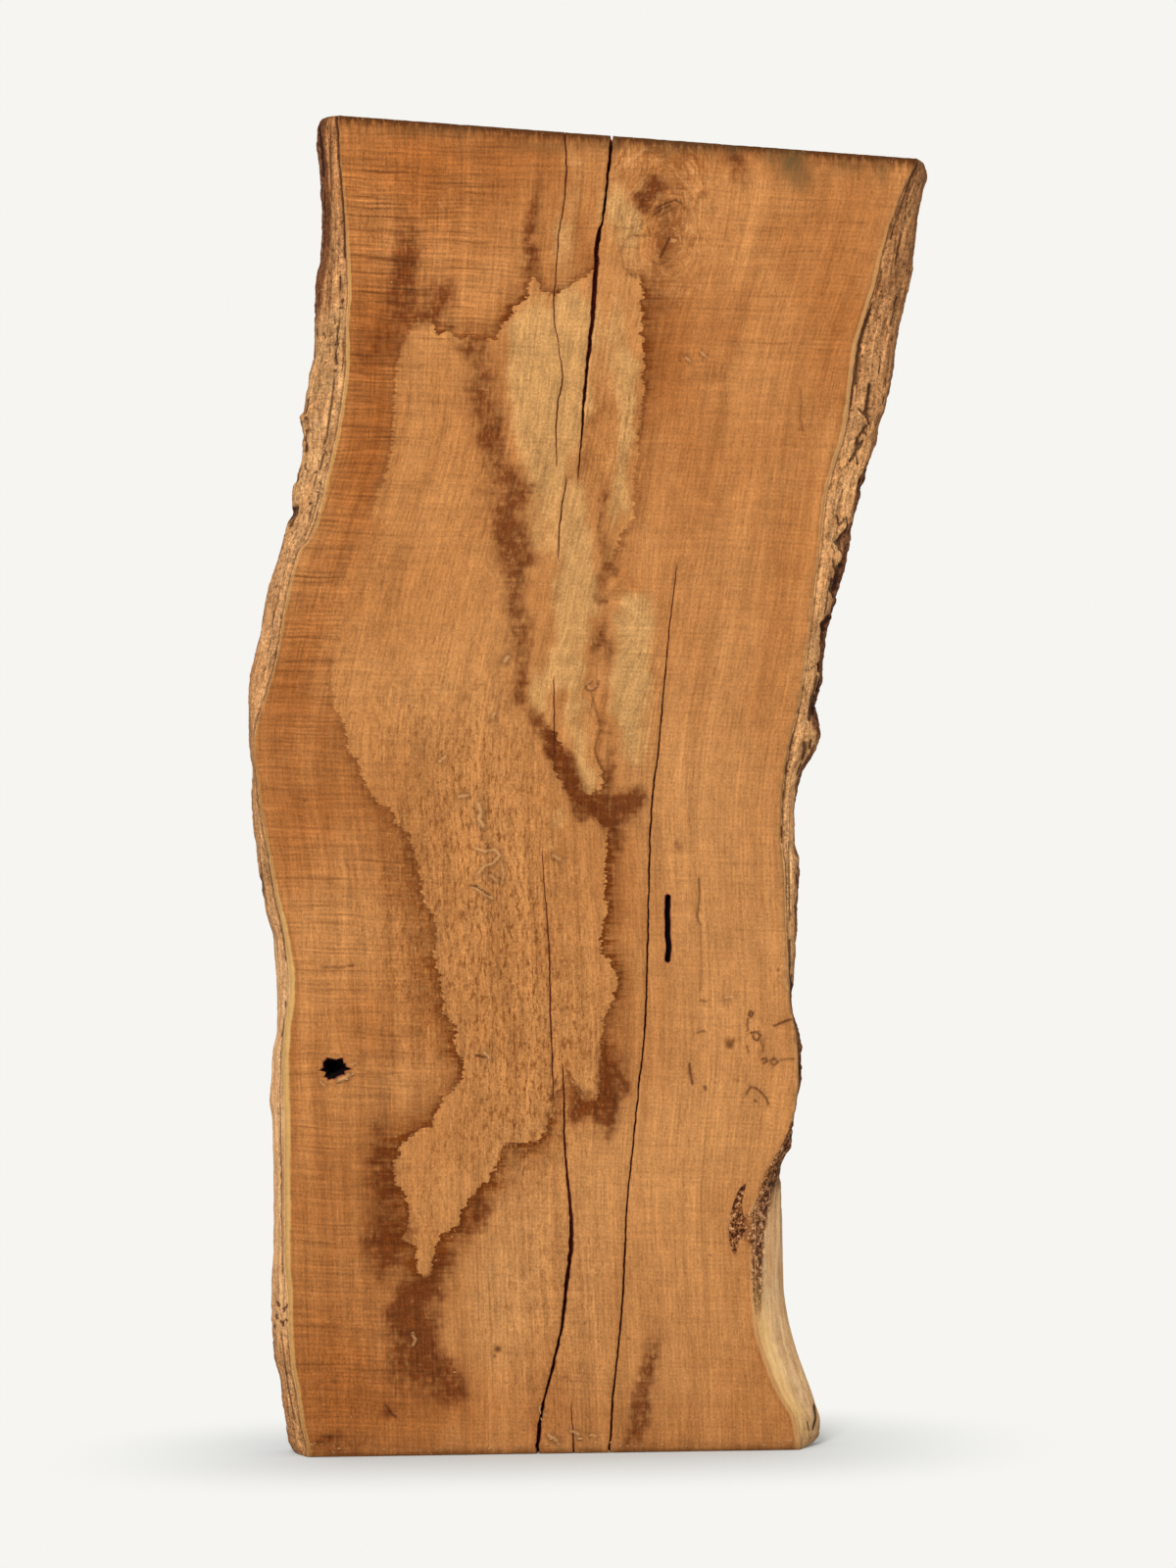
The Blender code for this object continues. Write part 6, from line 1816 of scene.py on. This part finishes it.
# ---------------------------------------------------------------- sawdust and chips on the face
# (right, down, length, width, turn in degrees), in units
CHIPS = [
    (352, 1101, 9, 3.6, 25), (345, 1104, 6, 2.4, 5), (360, 1096, 6, 2.2, -40), (333, 1105, 5, 1.8, 40),
    (491, 832, 11, 2.6, 80), (489, 842, 6, 2.0, 60), (497, 868, 8, 1.8, 10), (507, 872, 6, 1.6, 70),
    (494, 883, 6, 1.6, -30), (490, 906, 7, 1.6, 20), (517, 672, 6, 2.6, 20), (515, 715, 5, 2.0, -20),
    (504, 730, 4, 1.8, 0), (450, 775, 5, 2.0, 30), (470, 812, 5, 2.2, -10), (568, 875, 7, 2.0, 30),
    (498, 1077, 7, 2.0, 40), (704, 366, 4, 2.4, 0), (744, 1018, 6, 1.6, 5), (468, 1250, 3, 2.2, 0),
    (464, 1256, 3, 2.2, 40), (471, 1259, 2.6, 2.0, 0), (461, 1262, 2.6, 2.0, 20), (445, 1286, 3, 2.2, 0),
    (441, 1291, 2.6, 2, 0), (404, 1160, 3, 2.2, 10), (408, 1157, 2.6, 2, 0), (411, 1165, 2.4, 2, 0),
    (404, 1170, 2.4, 1.8, 0), (396, 1190, 2.2, 1.8, 0), (424, 1366, 7, 2.0, 60), (421, 1360, 4, 2, 0),
    (587, 1462, 11, 4.0, 40), (583, 1456, 6, 2.8, 70), (592, 1468, 8, 3.2, 10), (564, 1468, 10, 3.6, -20),
    (558, 1474, 7, 3.0, 0), (570, 1474, 6, 2.6, 30), (551, 1440, 8, 2.6, 80), (553, 1449, 6, 2.2, 70),
    (603, 1465, 6, 2.2, 0), (608, 1472, 5, 2.2, 0), (624, 1472, 5, 2.0, 0), (633, 1475, 5, 2.2, 0),
    (513, 1151, 3, 2, 0), (506, 1152, 2.6, 2, 0), (378, 836, 3, 1.6, 20), (600, 1444, 4, 1.8, 60),
    (812, 1441, 7, 2.6, 70), (822, 1436, 6, 2.4, 60), (829, 1448, 6, 2.6, 75), (826, 1460, 6, 2.6, 80),
    (818, 1466, 5, 2.4, 20), (806, 1470, 5, 2.2, 0), (795, 1472, 5, 2.2, 10), (780, 1474, 5, 2.0, 0),
    (764, 1472, 4, 2.0, 30), (742, 1475, 5, 2.0, 0), (720, 1473, 4, 1.8, 10), (700, 1476, 5, 2.0, 0),
    (676, 1474, 5, 2.0, 0), (655, 1476, 4, 1.8, 20), (318, 1474, 5, 2.2, 20), (346, 1478, 5, 2.0, 0),
    (392, 1479, 4, 2.0, 0), (446, 1478, 4, 1.8, 0), (500, 1478, 4, 1.8, 0), (530, 1476, 5, 2.0, 0),
]
for k in range(84):
    jitter = lambda n: (lattice(np.array([k]), np.array([n]), 977)[0] + 1) / 2
    x = 320 + 500 * jitter(1)
    y = 1482 - 100 * jitter(2) ** 2.6
    if k >= 70:
        x, y = 350 + 330 * jitter(3), 240 + 1100 * jitter(4)
    CHIPS.append((x, y, 1.6 + 2.0 * jitter(5), 1.1 + 0.9 * jitter(6), 180 * jitter(7)))
CHIPS = [c for c in CHIPS if lip_l(c[1]) + 2.5 < c[0] < lip_r(c[1]) - 2.5]
chip_points, chip_faces = [], []
for k, (x, y, long_, wide_, turn_) in enumerate(CHIPS):
    a = math.radians(turn_)
    ca, sa = math.cos(a), math.sin(a)
    first = len(chip_points)
    spine = [(-0.5, 0.0), (-0.28, 0.7), (0.02, 1.0), (0.30, 0.75), (0.5, 0.0)]
    lift = 0.5 * wide_
    for n, (t, w) in enumerate(spine):
        bend = 0.10 * long_ * noise(np.array([k * 1.7]), n * 0.8, 983)[0]
        if w == 0:
            chip_points.append((x + ca * t * long_ - sa * bend, y + sa * t * long_ + ca * bend, -0.02))
            continue
        for m in range(5):
            b = 2 * math.pi * m / 5 + 0.4 * k
            r = 0.42 * wide_ * w * (1 + 0.28 * noise(np.array([k + m * 0.9]), n * 1.3, 991)[0])
            across_, out_ = r * math.cos(b), 0.62 * r * math.sin(b)
            chip_points.append((x + ca * t * long_ - sa * (across_ + bend), y + sa * t * long_ + ca * (across_ + bend), -0.15 * lift + out_))
    tip_a, ring_a, ring_b, ring_c, tip_b = first, first + 1, first + 6, first + 11, first + 16
    for m in range(5):
        n = (m + 1) % 5
        chip_faces.append((tip_a, ring_a + m, ring_a + n))
        for lo, hi in ((ring_a, ring_b), (ring_b, ring_c)):
            chip_faces.append((lo + m, hi + m, hi + n))
            chip_faces.append((lo + m, hi + n, lo + n))
        chip_faces.append((ring_c + m, tip_b, ring_c + n))
chip_points = np.array(chip_points)
chip_mesh = bpy.data.meshes.new("sawdust_chips")
placed = in_frame(chip_points[:, 0], chip_points[:, 1], chip_points[:, 2])
placed[:, 2] = np.maximum(placed[:, 2], 0.0005)
chip_mesh.from_pydata(placed.tolist(), [], chip_faces)
chip_mesh.update(calc_edges=True)
chips = bpy.data.objects.new("sawdust_chips", chip_mesh)
bpy.context.scene.collection.objects.link(chips)
chip_mesh.materials.append(loose_fibre())
work = bmesh.new()
work.from_mesh(chip_mesh)
bmesh.ops.recalc_face_normals(work, faces=work.faces)
work.to_mesh(chip_mesh)
work.free()
chip_mesh.shade_smooth()
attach(chips, "root")
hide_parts("live_edge_slab")

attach(slab, "root")
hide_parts("live_edge_slab")

# ================================================================ floor, light and camera
BACKDROP = (0.921, 0.913, 0.880)
FOOT_MIDDLE = (-0.046, 0.0)
# painted shadow: the matt floor near the slab's foot is set a little darker than the glowing floor around it, to deepen
# the shadow under the slab, and tinted bluish against the warm light bounced off the slab
FLOOR_SHADOW_TINT = 0.515

floor_mesh = bpy.data.meshes.new("floor")
ring_points = [(9 * math.cos(2 * math.pi * k / 96), 9 * math.sin(2 * math.pi * k / 96), 0) for k in range(96)]
floor_mesh.from_pydata(ring_points, [], [list(range(96))])
floor = bpy.data.objects.new("floor", floor_mesh)
floor.location = (FOOT_MIDDLE[0], FOOT_MIDDLE[1], -0.0003)
bpy.context.scene.collection.objects.link(floor)
stuff = bpy.data.materials.new("pale_floor_painted_shadow")
stuff.use_nodes = True
tree = stuff.node_tree
tree.nodes.clear()
output = tree.nodes.new("ShaderNodeOutputMaterial")
glow = tree.nodes.new("ShaderNodeEmission")
glow.inputs["Color"].default_value = (*BACKDROP, 1)
matt = tree.nodes.new("ShaderNodeBsdfDiffuse")
matt.inputs["Color"].default_value = (BACKDROP[0] * FLOOR_SHADOW_TINT * 0.96, BACKDROP[1] * FLOOR_SHADOW_TINT * 0.995, BACKDROP[2] * FLOOR_SHADOW_TINT * 1.03, 1)
both = tree.nodes.new("ShaderNodeMixShader")
where = tree.nodes.new("ShaderNodeTexCoord")
parts = tree.nodes.new("ShaderNodeSeparateXYZ")
tree.links.new(where.outputs["Object"], parts.inputs[0])


def outside(socket, half):
    a = tree.nodes.new("ShaderNodeMath")
    a.operation = "ABSOLUTE"
    tree.links.new(socket, a.inputs[0])
    b = tree.nodes.new("ShaderNodeMath")
    b.operation = "SUBTRACT"
    tree.links.new(a.outputs[0], b.inputs[0])
    b.inputs[1].default_value = half
    c = tree.nodes.new("ShaderNodeMath")
    c.operation = "MAXIMUM"
    tree.links.new(b.outputs[0], c.inputs[0])
    c.inputs[1].default_value = 0.0
    return c.outputs[0]


away = tree.nodes.new("ShaderNodeCombineXYZ")
tree.links.new(outside(parts.outputs[0], 0.17), away.inputs[0])
tree.links.new(outside(parts.outputs[1], 0.032), away.inputs[1])
length = tree.nodes.new("ShaderNodeVectorMath")
length.operation = "LENGTH"
tree.links.new(away.outputs[0], length.inputs[0])
# the floor is matt, with its real and painted shadow, within 0.30 m of the slab's foot, and glows evenly beyond
span = tree.nodes.new("ShaderNodeMapRange")
span.interpolation_type = "SMOOTHSTEP"
for i, value in ((1, 0.0), (2, 0.30), (3, 1.0), (4, 0.0)):
    span.inputs[i].default_value = value
tree.links.new(length.outputs["Value"], span.inputs[0])
tree.links.new(span.outputs[0], both.inputs[0])
tree.links.new(glow.outputs[0], both.inputs[1])
tree.links.new(matt.outputs[0], both.inputs[2])
tree.links.new(both.outputs[0], output.inputs[0])
floor_mesh.materials.append(stuff)

world = bpy.data.worlds.new("soft_studio")
world.use_nodes = True
world.node_tree.nodes["Background"].inputs[0].default_value = (*BACKDROP, 1)
world.node_tree.nodes["Background"].inputs[1].default_value = 1.0
bpy.context.scene.world = world


def area_light(name, place, aim, size, power, tint=(1, 1, 1)):
    data = bpy.data.lights.new(name, "AREA")
    data.shape = "DISK"
    data.size = size
    data.energy = power
    data.color = tint
    lamp = bpy.data.objects.new(name, data)
    lamp.location = place
    lamp.rotation_euler = (Vector(aim) - Vector(place)).to_track_quat("-Z", "Y").to_euler()
    bpy.context.scene.collection.objects.link(lamp)


area_light("key", (-1.5, -6.4, 4.2), (0, 0, 0.6), 2.6, 720)

target = in_frame(600.0, 800.0, 0.0)
camera_data = bpy.data.cameras.new("camera")
camera_data.sensor_fit = "AUTO"
camera_data.sensor_width = 36.0
camera_data.lens = 36.0 * (VIEW_DISTANCE / UNIT) / 1600.0
camera_data.clip_end = 60.0
camera = bpy.data.objects.new("camera", camera_data)
c, s = math.cos(LEAN), math.sin(LEAN)
camera.matrix_world = Matrix((
    (c, s, 0.0, target[0]),
    (0.0, 0.0, -1.0, FRONT_Y - VIEW_DISTANCE),
    (-s, c, 0.0, target[2]),
    (0.0, 0.0, 0.0, 1.0),
))
bpy.context.scene.collection.objects.link(camera)
bpy.context.scene.camera = camera
bpy.context.scene.view_settings.view_transform = "Standard"
